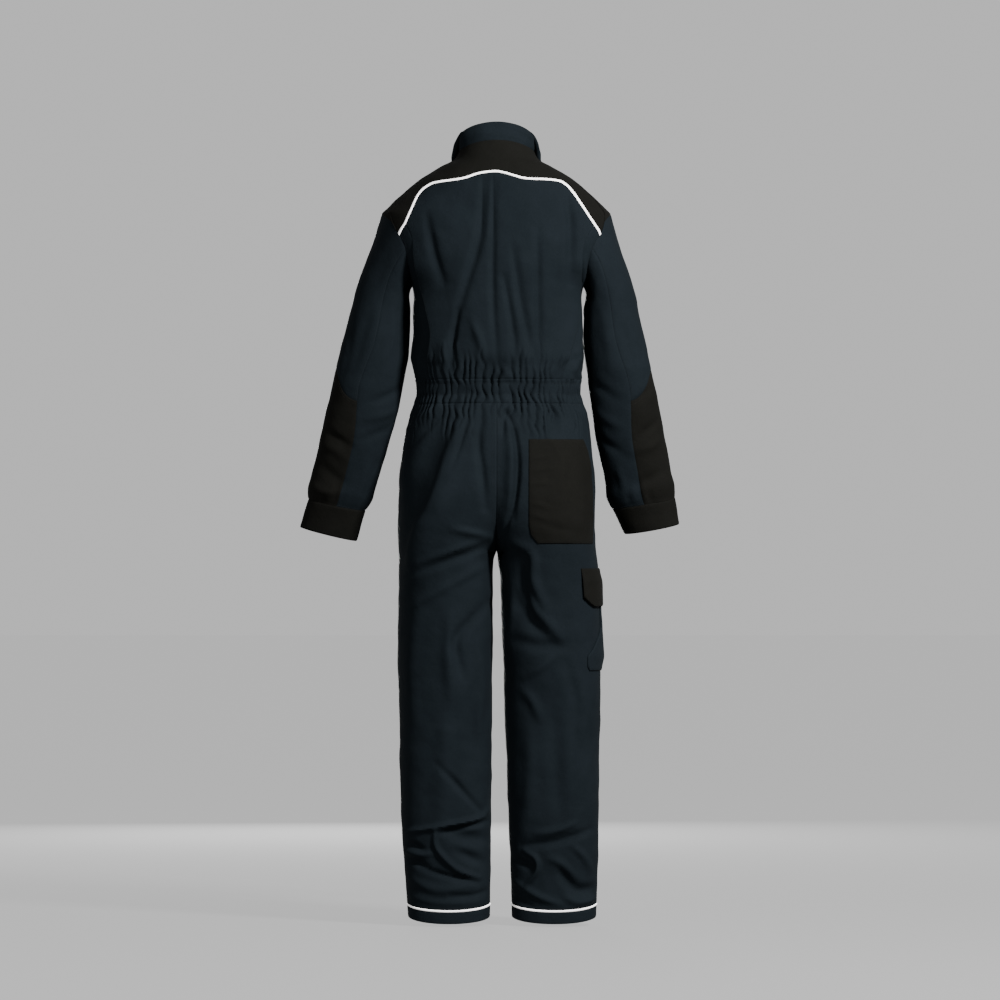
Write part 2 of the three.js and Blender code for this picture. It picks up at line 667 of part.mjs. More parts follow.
// Side back panels, from under the folded edge to the armhole and the side seam
const SIDE_HEIGHTS = [-285, -320, -360, -400, WAIST_TOP_Z + HALF_SEAM];
const sideAngle = (side, face, z) => {
  const depth = at(TORSO, face > 0 ? 'back' : 'front', z);
  const small = HALF_SEAM / depth / (1 + SQUARENESS);
  return face * (side === 'left' ? small : Math.PI - small);
};
for (const side of ['left', 'right']) {
  const outside = [
    ...armhole(side, 1).slice(PANEL_CORNER, -1),
    ...[ARMHOLE_BOTTOM_Z, ...SIDE_HEIGHTS].map((z) => ({ angle: sideAngle(side, 1, z), z })),
  ];
  const first = yokeLinePlace(PLEAT_SHARE[side], EDGE + SEAM);
  const rows = outside.map((place, j) => {
    const t = j / (outside.length - 1);
    const z = mix(first.z, WAIST_TOP_Z + HALF_SEAM, (place.z - outside[0].z)
      / (WAIST_TOP_Z + HALF_SEAM - outside[0].z));
    const lap = (PLEAT_LAP * pleatLap(z) - SEAM) / at(TORSO, side, z);
    const turn = side === 'left' ? lap : -lap;
    const start = first.angle - pleatAngle(side, first.z);
    const inside = { angle: pleatAngle(side, z) + start * (1 - smooth(0, 0.15, t)) + turn, z };
    const row = [];
    for (let i = 0; i <= SIDE_BACK_COLUMNS; i += 1) {
      const u = i / SIDE_BACK_COLUMNS;
      const sink = PLEAT_SINK * Math.max(0, 1 - u * 2.2) * pleatDepth(z);
      row.push({ angle: mix(inside.angle, place.angle, u), z: mix(z, place.z, u), lift: -sink });
    }
    return row;
  });
  layWall(`side_back_${side}`, NAVY, rows, onTorso);
}

// Fronts, from the front yoke to the waist seam
const FRONT_HEIGHTS = [-285, -320, -360, -400, -440, WAIST_Z + HALF_SEAM];
for (const side of ['left', 'right']) {
  const topEdge = frontLine(side, -(EDGE + SEAM), ARMHOLE_STEPS[PANEL_CORNER]);
  const outside = [
    ...armhole(side, -1).slice(PANEL_CORNER, -1),
    ...[ARMHOLE_BOTTOM_Z, ...FRONT_HEIGHTS].map((z) => ({ angle: sideAngle(side, -1, z), z })),
  ];
  const start = outside[0].z;
  const end = WAIST_Z + HALF_SEAM;
  const rows = outside.map((place, j) => {
    const t = (place.z - start) / (end - start);
    return topEdge.map((head, i) => {
      const u = i / FRONT_STEPS;
      const z = mix(head.z, end, t);
      const zip = torsoAngle(side, ZIP_EDGE, z);
      const share = mix(zip, Math.abs(place.angle), u);
      const angle = mix(Math.abs(head.angle), share, j === 0 ? 0 : smooth(0, 0.2, t));
      return { angle: i === FRONT_STEPS ? place.angle : -(i === 0 ? zip : angle), z };
    });
  });
  layWall(`front_${side}`, NAVY, rows, onTorso);
}

// Gathered waistband across the back
const WAIST_ROWS = [0, 0.3, 0.7, 1];
const waistband = WAIST_ROWS.map((t) => {
  const z = mix(WAIST_TOP_Z - HALF_SEAM, WAIST_Z + HALF_SEAM, t);
  const start = sideAngle('left', 1, z);
  const end = sideAngle('right', 1, z);
  const row = [];
  for (let i = 0; i <= GATHERS * 2; i += 1) {
    const u = i / (GATHERS * 2);
    const edge = Math.min(1, Math.min(i, GATHERS * 2 - i) / 3);
    const wave = (i % 2 === 0 ? -1 : 1) * (2 + 0.7 * Math.sin(i * 1.7)) * edge;
    row.push({ angle: mix(start, end, u), z, lift: wave * (t > 0 && t < 1 ? 1 : 0.75) });
  }
  return row;
});
layWall('waistband_back', NAVY, waistband, onTorso);

// Leg panels from the waist seam to the hem piping
const LEG_HEIGHTS = [
  -508, -532, -559, -582, -605, -640, -655, -680, -705, -730, -750, -767, CROTCH_Z, -794, -816,
  -845, -874, -892, -938, -965, -990, -1020, -1070, -1125, -1180, -1230, -1275, -1305, -1330,
  -1352, -1374, -1396, -1418, -1440, -1462,
];
const legRows = (skip) => [
  WAIST_Z - HALF_SEAM, ...LEG_HEIGHTS.filter((z, i) => skip.every((s) => s !== i)),
  HEM_PIPING_Z + SEAM,
];
const seamAngle = (side, face, z) => {
  const depth = at(LEG[side], face > 0 ? 'back' : 'front', z);
  return HALF_SEAM / depth / (1 + SQUARENESS);
};
function legEnd(side, face, z) {
  const closed = Math.PI - seamAngle(side, face, z);
  const zipped = face < 0 && z > ZIP_END_Z - 1;
  const cut = zipped ? ZIP_EDGE : HALF_SEAM;
  return z > CROTCH_Z ? Math.min(legAngle(side, cut, z), closed) : closed;
}
function legWall(side, face, columns, skip) {
  const rows = legRows(skip).map((z) => {
    const start = seamAngle(side, face, z);
    const end = legEnd(side, face, z);
    const row = [];
    for (let i = 0; i <= columns; i += 1) {
      row.push({ angle: face * mix(start, end, i / columns), z });
    }
    return row;
  });
  const name = `leg_${face > 0 ? 'back' : 'front'}_${side}`;
  layWall(name, NAVY, rows, (place, lift) => legPoint(side, place.angle, place.z, lift));
}
for (const side of ['left', 'right']) {
  legWall(side, 1, 10, []);
  legWall(side, -1, 8, [0, 8, 24, 26, 29, 31]);
}

// Hem: a ring of piping and a turned-up band on each leg
const HEM_COLUMNS = 22;
function legRing(name, finish, side, heights, lift, thick) {
  const rows = heights.map((z) => {
    const row = [];
    for (let i = 0; i < HEM_COLUMNS; i += 1) {
      row.push({ angle: Math.PI * (1 - (2 * (i + 0.5)) / HEM_COLUMNS), z });
    }
    return row;
  });
  const point = (place, up) => legPoint(side, place.angle, place.z, up);
  layWall(name, finish, rows, point, () => lift, thick, true);
}
for (const side of ['left', 'right']) {
  const bottom = HEM_PIPING_Z - PIPING_WIDTH;
  legRing(`hem_piping_${side}`, WHITE, side, [HEM_PIPING_Z, bottom], PIPING_LIFT, PIPING_THICK);
  legRing(`hem_band_${side}`, NAVY, side, [bottom - SEAM, HEM_Z], 0.3, WALL + 0.6);
}

// Pockets laid on the right leg
const onRightLeg = (place, lift) =>
  legPoint('right', place.angle, place.z, lift + (place.lift ?? 0));
const pocketGrid = (rows, start, end, lift) => rows.map((row) => {
  const places = [];
  for (let i = 0; i <= POCKET_COLUMNS; i += 1) {
    const u = i / POCKET_COLUMNS;
    places.push({ angle: mix(start(row), end(row), u), z: row.z, lift: lift(u, row.z) });
  }
  return places;
});
const lapTop = () => LAP_LIFT + WALL;
layWall('back_pocket', BLACK, pocketGrid(
  BACK_POCKET,
  (row) => legAngle('right', row.inside, row.z),
  (row) => legAngle('right', row.outside, row.z),
  () => 0,
), onRightLeg, lapTop);

const BAG_FULL_Z = -990;
const BAG_BULGE = 5;
const bagBulge = (u, z) => BAG_LIFT + BAG_BULGE * Math.sin(Math.PI * u)
  * smooth(-900, BAG_FULL_Z, z) * smooth(-1021, BAG_FULL_Z, z);
layWall('cargo_pocket', NAVY, pocketGrid(
  CARGO_BAG,
  (row) => row.behind * RAD,
  (row) => -row.before * RAD,
  bagBulge,
), onRightLeg, lapTop);
layWall('cargo_flap', BLACK, pocketGrid(
  CARGO_FLAP,
  (row) => row.behind * RAD,
  (row) => -row.before * RAD,
  (u, z) => (BAG_LIFT + LAP_LIFT + WALL) * smooth(-818, -846, z) + BAG_LIFT,
), onRightLeg, lapTop);

// Sleeves
function sleeveFrame(side, z) {
  const rows = SLEEVE[side];
  const sign = side === 'left' ? 1 : -1;
  const centreAt = (h) => new THREE.Vector3(sign * at(rows, 'x', h), at(rows, 'y', h), h);
  const centre = centreAt(z);
  const tilt = at(rows, 'tilt', z) * RAD;
  const out = new THREE.Vector3(sign * Math.cos(tilt), 0, Math.sin(tilt));
  const lean = (at(rows, 'y', z - 10) - at(rows, 'y', z + 10)) / 20;
  const down = new THREE.Vector3(sign * Math.sin(tilt), lean, -Math.cos(tilt)).normalize();
  const back = new THREE.Vector3().crossVectors(out, down).multiplyScalar(-sign).normalize();
  if (back.y < 0) back.negate();
  return { centre, out, back, down, half: at(rows, 'half', z), depth: at(rows, 'depth', z) };
}

function sleeveCrease(angle, z) {
  let sum = 0;
  const degrees = angle / RAD;
  for (const f of SLEEVE_FOLDS) {
    let turn = degrees - f.angle;
    turn -= 360 * Math.round(turn / 360);
    const reach = Math.abs(turn) / f.spread;
    if (reach >= 1) continue;
    const away = (z - f.z) / f.width;
    sum += f.height * Math.cos(reach * Math.PI / 2) ** 2 * Math.exp(-away * away);
  }
  return sum;
}

// The long sleeve seams wander a little from the middle of the back and front of the arm
const seamWander = (z) => -13 * RAD * Math.exp(-(((z + 452) / 70) ** 2));

function sleevePoint(side, angle, z, lift) {
  const f = sleeveFrame(side, z);
  const turned = angle + seamWander(z) * Math.sin(angle) ** 2 * Math.sign(Math.sin(angle));
  const grow = lift + sleeveCrease(turned, z);
  return f.centre.clone()
    .addScaledVector(f.out, (f.half + grow) * Math.cos(turned))
    .addScaledVector(f.back, (f.depth + grow) * Math.sin(turned));
}

// The sleeve's edge at the armhole: beside the cloth at the top, against its outside at the armpit
function armholeRim(side) {
  const loop = [
    ...ARMHOLE_STEPS.map((step) => ({ step, ...armholePlace(side, 1, step) })),
    ...ARMHOLE_STEPS.slice(1, -1).reverse().map((step) =>
      ({ step: 360 - step, ...armholePlace(side, -1, step) })),
  ];
  const points = loop.map(({ angle, z }) => torsoPoint(angle, z, 0));
  const middle = points.reduce((sum, p) => sum.add(p), new THREE.Vector3())
    .divideScalar(points.length);
  return loop.map((place, i) => {
    const p = points[i];
    const next = points[(i + 1) % points.length];
    const last = points[(i + points.length - 1) % points.length];
    const run = next.clone().sub(last).normalize();
    const normal = torsoNormal(place.angle, place.z);
    const beside = new THREE.Vector3().crossVectors(normal, run).normalize();
    if (beside.dot(middle.clone().sub(p)) < 0) beside.negate();
    const drop = 1 - Math.abs(place.step - 180) / 180;
    const turn = (Math.PI / 2) * smooth(0.2, 1, drop);
    const facing = normal.clone().multiplyScalar(Math.sin(turn))
      .addScaledVector(beside, Math.cos(turn));
    const slant = normal.clone().multiplyScalar(Math.cos(turn))
      .addScaledVector(beside, -Math.sin(turn));
    const low = WALL * (turn / (Math.PI / 2));
    const base = p.clone().addScaledVector(facing, SEAM * (1 + 1.2 * Math.sin(turn)));
    return {
      angle: place.step * RAD,
      outer: base.clone().addScaledVector(slant, low),
      inner: base.clone().addScaledVector(slant, low - WALL),
      facing,
    };
  });
}

function rimAt(rim, angle) {
  const full = 2 * Math.PI;
  const wanted = ((angle % full) + full) % full;
  for (let i = 0; i < rim.length; i += 1) {
    const a = rim[i];
    const b = rim[(i + 1) % rim.length];
    const end = i === rim.length - 1 ? full : b.angle;
    if (wanted >= a.angle - 1e-9 && wanted <= end + 1e-9) {
      const t = (wanted - a.angle) / (end - a.angle);
      return {
        outer: a.outer.clone().lerp(b.outer, t),
        inner: a.inner.clone().lerp(b.inner, t),
        facing: a.facing.clone().lerp(b.facing, t).normalize(),
      };
    }
  }
  return rim[0];
}

const CAP_Z = -300;
const CAP_ROWS = 4;
function capPoint(side, rim, angle, t) {
  const start = rimAt(rim, angle);
  const end = sleevePoint(side, angle, CAP_Z, 0);
  const down = sleeveFrame(side, CAP_Z).down;
  const reach = start.outer.distanceTo(end);
  const leave = start.facing.clone().addScaledVector(down, 0.9).normalize().multiplyScalar(reach);
  const arrive = down.clone().multiplyScalar(reach);
  const t2 = t * t;
  const t3 = t2 * t;
  return start.outer.clone().multiplyScalar(2 * t3 - 3 * t2 + 1)
    .addScaledVector(leave, t3 - 2 * t2 + t)
    .addScaledVector(end, 3 * t2 - 2 * t3)
    .addScaledVector(arrive, t3 - t2);
}

function capInner(side, rim, angle, t) {
  if (t === 0) return rimAt(rim, angle).inner;
  const step = 0.03;
  const round = capPoint(side, rim, angle + step, t).sub(capPoint(side, rim, angle - step, t));
  const length = capPoint(side, rim, angle, t + 0.01).sub(capPoint(side, rim, angle, t - 0.01));
  const normal = round.cross(length).normalize();
  const p = capPoint(side, rim, angle, t);
  const middle = sleeveFrame(side, CAP_Z - 20).centre;
  const centre = rimAt(rim, 0).outer.clone().lerp(rimAt(rim, Math.PI).outer, 0.5)
    .lerp(middle, t);
  if (normal.dot(p.clone().sub(centre)) < 0) normal.negate();
  return p.addScaledVector(normal, -WALL);
}

const PATCH_TOP = { outside: -431, drop: 49 };
const patchZ = (angle) => PATCH_TOP.outside - PATCH_TOP.drop * Math.sin(angle) ** 2;
const MIDDLE_ROWS = 3;
const LOWER_ROWS = 6;
const SLEEVE_DEPTH = 58;
const SEAM_TURN = HALF_SEAM / SLEEVE_DEPTH;

function sleeveGrid(side, rim, angles, parts, cuffZ) {
  const outer = [];
  const inner = [];
  const addRow = (point, pointInner) => {
    outer.push(angles.map(point));
    inner.push(angles.map(pointInner));
  };
  if (parts.cap) {
    for (let j = 0; j < CAP_ROWS; j += 1) {
      const t = (j / CAP_ROWS) ** 1.25;
      addRow((a) => capPoint(side, rim, a, t), (a) => capInner(side, rim, a, t));
    }
  }
  const ringRow = (height) => addRow(
    (a) => sleevePoint(side, a, height(a), 0),
    (a) => sleevePoint(side, a, height(a), -WALL),
  );
  if (parts.cap) {
    for (let j = 0; j <= MIDDLE_ROWS; j += 1) {
      const gap = j === MIDDLE_ROWS && !parts.under ? HALF_SEAM : 0;
      ringRow((a) => mix(CAP_Z, patchZ(parts.under ? Math.PI / 2 : a), j / MIDDLE_ROWS) + gap);
    }
  }
  if (parts.lower) {
    const first = parts.cap ? 1 : 0;
    for (let j = first; j <= LOWER_ROWS; j += 1) {
      const gap = j === 0 ? HALF_SEAM : 0;
      ringRow((a) => mix(patchZ(parts.under ? Math.PI / 2 : a), cuffZ, j / LOWER_ROWS) - gap);
    }
  }
  return { outer, inner };
}

for (const side of ['left', 'right']) {
  const rim = armholeRim(side);
  const cuffZ = SLEEVE[side][SLEEVE[side].length - 1].z;
  const steps = ARMHOLE_STEPS.filter((step) => step < 90).map((step) => step * RAD);
  const edge = Math.PI / 2 - SEAM_TURN;
  const outside = [-edge, ...steps.slice(1).reverse().map((a) => -a), ...steps, edge];
  const lowSteps = ARMHOLE_STEPS.filter((step) => step > 90).map((step) => step * RAD);
  const start = Math.PI / 2 + SEAM_TURN;
  const full = 2 * Math.PI;
  const under = [
    start, ...lowSteps, ...lowSteps.slice(0, -1).reverse().map((a) => full - a), full - start,
  ];
  const top = sleeveGrid(side, rim, outside, { cap: true }, cuffZ);
  wall(`sleeve_upper_${side}`, NAVY, top.outer, top.inner);
  const patch = sleeveGrid(side, rim, outside, { lower: true }, cuffZ);
  wall(`sleeve_patch_${side}`, BLACK, patch.outer, patch.inner);
  const whole = { cap: true, lower: true, under: true };
  const below = sleeveGrid(side, rim, under, whole, cuffZ);
  wall(`sleeve_under_${side}`, NAVY, below.outer, below.inner);
}

// Cuffs
const CUFF_COLUMNS = 20;
const CUFF_ROWS = 2;
for (const side of ['left', 'right']) {
  const sign = side === 'left' ? 1 : -1;
  const cuff = CUFF[side];
  const topZ = SLEEVE[side][SLEEVE[side].length - 1].z;
  const f = sleeveFrame(side, topZ);
  const start = f.centre.clone().addScaledVector(f.down, SEAM);
  const end = new THREE.Vector3(sign * cuff.x, cuff.y, cuff.z);
  const tilt = cuff.tilt * RAD;
  const outEnd = new THREE.Vector3(sign * Math.cos(tilt), 0, Math.sin(tilt));
  const outer = [];
  const inner = [];
  for (let j = 0; j <= CUFF_ROWS; j += 1) {
    const t = j / CUFF_ROWS;
    const centre = start.clone().lerp(end, t);
    const out = f.out.clone().lerp(outEnd, t).normalize();
    const ring = (less) => {
      const row = [];
      for (let i = 0; i < CUFF_COLUMNS; i += 1) {
        const a = (2 * Math.PI * i) / CUFF_COLUMNS;
        row.push(centre.clone()
          .addScaledVector(out, (mix(cuff.topHalf, cuff.half, t) - less) * Math.cos(a))
          .addScaledVector(f.back, (mix(f.depth, cuff.depth, t) - less) * Math.sin(a)));
      }
      return row;
    };
    outer.push(ring(0));
    inner.push(ring(WALL + 0.8));
  }
  wall(`cuff_${side}`, BLACK, outer, inner, true);
}

// Zip chain down the centre front, from the collar to below the waist
const ZIP_RAISE = 0.6;
const ZIP_THICK = 2.4;
const front = new THREE.Vector3(0, -1, 0);
const zipPath = [];
const lastCollar = collarRows.outer.length - 1;
for (let j = lastCollar; j >= 0; j -= 1) {
  const p = collarRows.outer[j][0];
  zipPath.push(new THREE.Vector3(0, p.y, p.z - (j === 0 ? 1 : 0)));
}
const zipHeights = [-60, -85, -110, -140, -180, -230, -280, -340, -400, -450, WAIST_Z];
for (const z of zipHeights) zipPath.push(new THREE.Vector3(0, torsoPoint(-Math.PI / 2, z, 0).y, z));
for (const z of [-525, -575, -605, ZIP_END_Z + 2]) {
  zipPath.push(new THREE.Vector3(0, legPoint('left', -legAngle('left', 1, z), z, 0).y, z));
}
const zipLayer = (lift) => zipPath.map((p) => [-ZIP_HALF, ZIP_HALF].map((x) =>
  new THREE.Vector3(x, p.y, p.z).addScaledVector(front, lift)));
wall('zip_chain', METAL, zipLayer(ZIP_RAISE), zipLayer(ZIP_RAISE - ZIP_THICK));

// Slider and pull tab at the top of the zip
const SLIDER = { width: 8, height: 11, depth: 3, chamfer: 1, pinDrop: 2 };
const PIN = { radius: 0.8, half: 3.6 };
const CHEEK = { inner: 1.9, outer: 3.4, radius: 2.1 };
const TAB = { width: 6.4, length: 24, thick: 1.4, bore: 1.5, rim: 2.8, eye: 3, neck: 4, gap: 0.6 };
const sliderZ = (zipPath[0].z + zipPath[lastCollar].z) / 2 + 4;
const zipFace = Math.min(...zipPath.slice(0, lastCollar + 1).map((p) => p.y)) - ZIP_RAISE - SEAM;
const pinY = zipFace - SLIDER.depth - TAB.rim - TAB.gap;
const pinZ = sliderZ - SLIDER.pinDrop;

const wasm = await Module();
wasm.setup();

function toSolid(geometry) {
  const plain = geometry.clone();
  plain.deleteAttribute('normal');
  plain.deleteAttribute('uv');
  const merged = mergeVertices(plain, 1e-4);
  return new wasm.Manifold(new wasm.Mesh({
    numProp: 3,
    vertProperties: new Float32Array(merged.attributes.position.array),
    triVerts: new Uint32Array(merged.index.array),
  }));
}

function fromSolid(solid) {
  const mesh = solid.getMesh();
  const geometry = new THREE.BufferGeometry();
  geometry.setAttribute('position', new THREE.BufferAttribute(mesh.vertProperties, 3));
  geometry.setIndex(new THREE.BufferAttribute(mesh.triVerts, 1));
  return geometry;
}

// A round bar along the pin
function bar(radius, x0, x1) {
  const geometry = new THREE.CylinderGeometry(radius, radius, x1 - x0, 16);
  geometry.rotateZ(Math.PI / 2);
  geometry.translate((x0 + x1) / 2, pinY, pinZ);
  return toSolid(geometry);
}

function block(x0, x1, y0, y1, z0, z1) {
  const geometry = new THREE.BoxGeometry(x1 - x0, y1 - y0, z1 - z0);
  geometry.translate((x0 + x1) / 2, (y0 + y1) / 2, (z0 + z1) / 2);
  return toSolid(geometry);
}

function sliderSolid() {
  const shape = new THREE.Shape();
  const w = SLIDER.width / 2;
  const h = SLIDER.height / 2;
  shape.moveTo(-w * 0.6, -h);
  shape.lineTo(w * 0.6, -h);
  shape.lineTo(w, h - 3 * SLIDER.chamfer);
  shape.lineTo(w - SLIDER.chamfer, h);
  shape.lineTo(-w + SLIDER.chamfer, h);
  shape.lineTo(-w, h - 3 * SLIDER.chamfer);
  shape.closePath();
  const body = new THREE.ExtrudeGeometry(shape, { depth: SLIDER.depth, bevelEnabled: false });
  body.rotateX(Math.PI / 2);
  body.translate(0, zipFace, sliderZ);
  let solid = toSolid(body).add(bar(PIN.radius, -PIN.half, PIN.half));
  for (const sign of [-1, 1]) {
    const x0 = sign > 0 ? CHEEK.inner : -CHEEK.outer;
    const x1 = x0 + CHEEK.outer - CHEEK.inner;
    const back = zipFace - SLIDER.depth + 0.5;
    solid = solid.add(bar(CHEEK.radius, x0, x1));
    solid = solid.add(block(x0, x1, pinY, back, pinZ - CHEEK.radius, pinZ + CHEEK.radius));
  }
  return solid;
}

function tabSolid() {
  const half = TAB.eye / 2;
  const eye = bar(TAB.rim, -half, half);
  const y0 = pinY - TAB.thick / 2;
  const y1 = pinY + TAB.thick / 2;
  const neck = block(-half, half, y0, y1, pinZ - TAB.neck, pinZ - TAB.bore);
  const end = pinZ - TAB.length;
  const blade = block(-TAB.width / 2, TAB.width / 2, y0, y1, end + 1, pinZ - TAB.neck + 0.2);
  const tip = block(-TAB.width / 2 + 1, TAB.width / 2 - 1, y0, y1, end, end + 1.2);
  return eye.add(neck).add(blade).add(tip).subtract(bar(TAB.bore, -half - 1, half + 1));
}

addMesh('zip_slider', METAL, fromSolid(sliderSolid()));
addMesh('zip_pull', METAL, fromSolid(tabSolid()));

export default suit;
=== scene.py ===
from math import pi, radians

import bpy
import numpy as np
from numpy import concatenate as join, cos, sin
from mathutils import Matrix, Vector


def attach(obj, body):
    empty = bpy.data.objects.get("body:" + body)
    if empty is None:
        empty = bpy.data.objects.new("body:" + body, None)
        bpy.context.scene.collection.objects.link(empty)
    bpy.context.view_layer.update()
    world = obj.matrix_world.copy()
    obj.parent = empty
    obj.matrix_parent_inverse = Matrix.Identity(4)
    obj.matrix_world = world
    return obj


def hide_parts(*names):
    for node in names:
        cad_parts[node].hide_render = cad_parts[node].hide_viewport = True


# Looks of the boiler suit: thin shells of cloth on the solids' form, with creases, gathers,
# sewing, rounded piping and zip teeth. Shapes are worked out in millimetres.

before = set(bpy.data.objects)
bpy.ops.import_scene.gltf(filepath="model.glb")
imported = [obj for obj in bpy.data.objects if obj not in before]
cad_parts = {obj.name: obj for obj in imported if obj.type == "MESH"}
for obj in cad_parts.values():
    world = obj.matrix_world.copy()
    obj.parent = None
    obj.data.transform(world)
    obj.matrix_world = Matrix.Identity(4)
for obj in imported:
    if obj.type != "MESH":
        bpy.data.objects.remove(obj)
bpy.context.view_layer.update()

MM = 0.001
RAD = pi / 180
SIGN = {"left": 1, "right": -1}

# Cloth; panels meet with their edges one over the other
CLOTH = 1.1
DOUBLE = 2.0
SEAM = -0.6
HALF_SEAM = SEAM / 2
PIPING_WIDTH = 4.4
PIPING_LIFT = 1.0
LAP = 2.6
SQUARENESS = 0.12

# Heights of the main seams
NECK_Z = -3
NECK_RISE = 33
NAPE_LIFT = 8
HEM_BOW = 12
WAIST_TOP_Z = -440
WAIST_Z = -488
ZIP_END_Z = -640
CROTCH_Z = -784
HEM_PIPING_Z = -1485
HEM_Z = -1513
ZIP_HALF = 3.3
ZIP_EDGE = ZIP_HALF + 0.3
GATHERS = 36


def table(text):
    """The columns of a table by name: a row of names, then rows of numbers."""
    names, *rows = [row.split() for row in text.strip().splitlines()]
    return dict(zip(names, np.array(rows, float).T))


def side_tables(text):
    """A table for each side; a column named left_ or right_ belongs to that side alone."""
    columns = table(text)
    return {side: {name.removeprefix(side + "_"): column for name, column in columns.items()}
            for side in SIGN}


def read_folds(text):
    rows = [np.array(row.split(), float) for row in text.strip().splitlines()]
    return [np.split(row, [2 + len(row) % 2]) for row in rows]


TORSO = table("""
z left right back front
44 62 62 70 40
28 71 71 75 44
0 85 85 88 50
-12 108 108 94 54
-24 129 129 99 59
-48 164 164 107 72
-72 193 192 114 86
-96 218 217 120 98
-110 231 229 123 104
-150 229 231 129 115
-200 204 207 133 124
-252 169 174 133 128
-310 167 171 130 130
-380 167 171 125 128
-440 161 168 119 124
-470 160 168 116 122
-488 165 174 118 123
""")
LEG = side_tables("""
z left_outer left_inner right_outer right_inner close back front
-470 163 0 168 0 0 117 122
-488 165 0 174 0 0 118 123
-528 177 0 185 0 0 128 124
-576 187 0 191 0 0 140 126
-624 193 0 196 0 0.12 149 127
-672 196 0 197 0 0.36 150 127
-720 197 0 196 0 0.64 144 124
-760 197 0 198 0 0.88 134 119
-784 196 0.2 200 0.2 1 127 116
-800 195 6 202 2 1 123 113
-840 195 7 205 7 1 116 108
-920 197 7 207 10 1 108 101
-1000 197 8 207 13 1 101 95
-1080 195 9 208 15 1 95 90
-1200 193 9 205 20 1 86 83
-1320 190 11 204 24 1 77 75
-1400 185 11 203 27 1 70 68
-1480 179 13 200 30 1 63 62
-1520 176 13 199 31 1 61 61
""")
SLEEVE = side_tables("""
left_z right_z left_x right_x y left_half right_half depth left_tilt right_tilt
-300 -300 230 228 0 59 54.5 60 11 9.5
-373 -373 241 236.5 -1 67.5 62 61 11 9.5
-430 -430 253 246 -3 69.5 64.5 59 11 9.5
-493 -493 267 257 -8 70 67 55 11 9.5
-553 -553 282 268 -15 68.5 68 51 11 9.5
-613 -613 298 280 -25 66.5 67.5 46 11 9.5
-660 -660 311 288 -34 64.5 67 42 11 9.5
-690 -686 320 295 -40 59.5 65.5 38 11.4 9.9
""")
CUFF = {
    "left": dict(x=337.5, y=-53, z=-748, half=59, depth=33, tilt=13.9, top_half=58.5),
    "right": dict(x=312, y=-52, z=-738, half=56, depth=33, tilt=10.4, top_half=64),
}
ARMHOLE = side_tables("""
z left_x right_x
-110 231 229
-126 211 216
-154 193 205
-181 181 191
-205 177 184
-230 172 178
-252 169 174
""")
ARMHOLE_TOP_Z = -110
ARMHOLE_BOTTOM_Z = -252
YOKE_STEP = 62
PANEL_STEP = 68
YOKE_LINE = np.array([
    [191, -151], [183, -131], [167, -96], [153, -68], [132, -52], [111, -47], [67, -41], [37, -31],
    [7, -27], [-12, -29], [-37, -36], [-61, -41], [-119, -44], [-137, -51], [-153, -68],
    [-177, -105], [-196, -133], [-205, -151],
], float)
FRONT_LINE_MIDDLE_Z = -112
FRONT_LINE_SIDE_Z = -151
PLEAT = side_tables("""
left_z left_x right_z right_x
-131 183 -133 196
-150 173 -156 183
-194 165 -194 169
-246 149 -258 163
-310 135 -310 161
-350 129 -360 151
-386 131 -410 137
-440 139 -440 131
""")
PLEAT_RAISE = 8
PLEAT_SINK = 9
PLEAT_LAP = 14
BACK_POCKET = table("""
z inside outside
-559 64 172
-582 64 181
-605 64 186
-640 64 189
-655 64 190
-680 64 191
-705 64 191
-730 64 191
-750 68 191
-767 82 191
""")
CARGO_FLAP = table("""
z behind before
-816 54 54
-845 54 54
-874 53 53
-886 44 44
-892 36 36
""")
CARGO_BAG = table("""
z behind before
-845 9 50
-874 9 50
-892 9 50
-938 9 50
-965 29 50
-990 47 50
-1012 47 50
-1020 43 47
""")

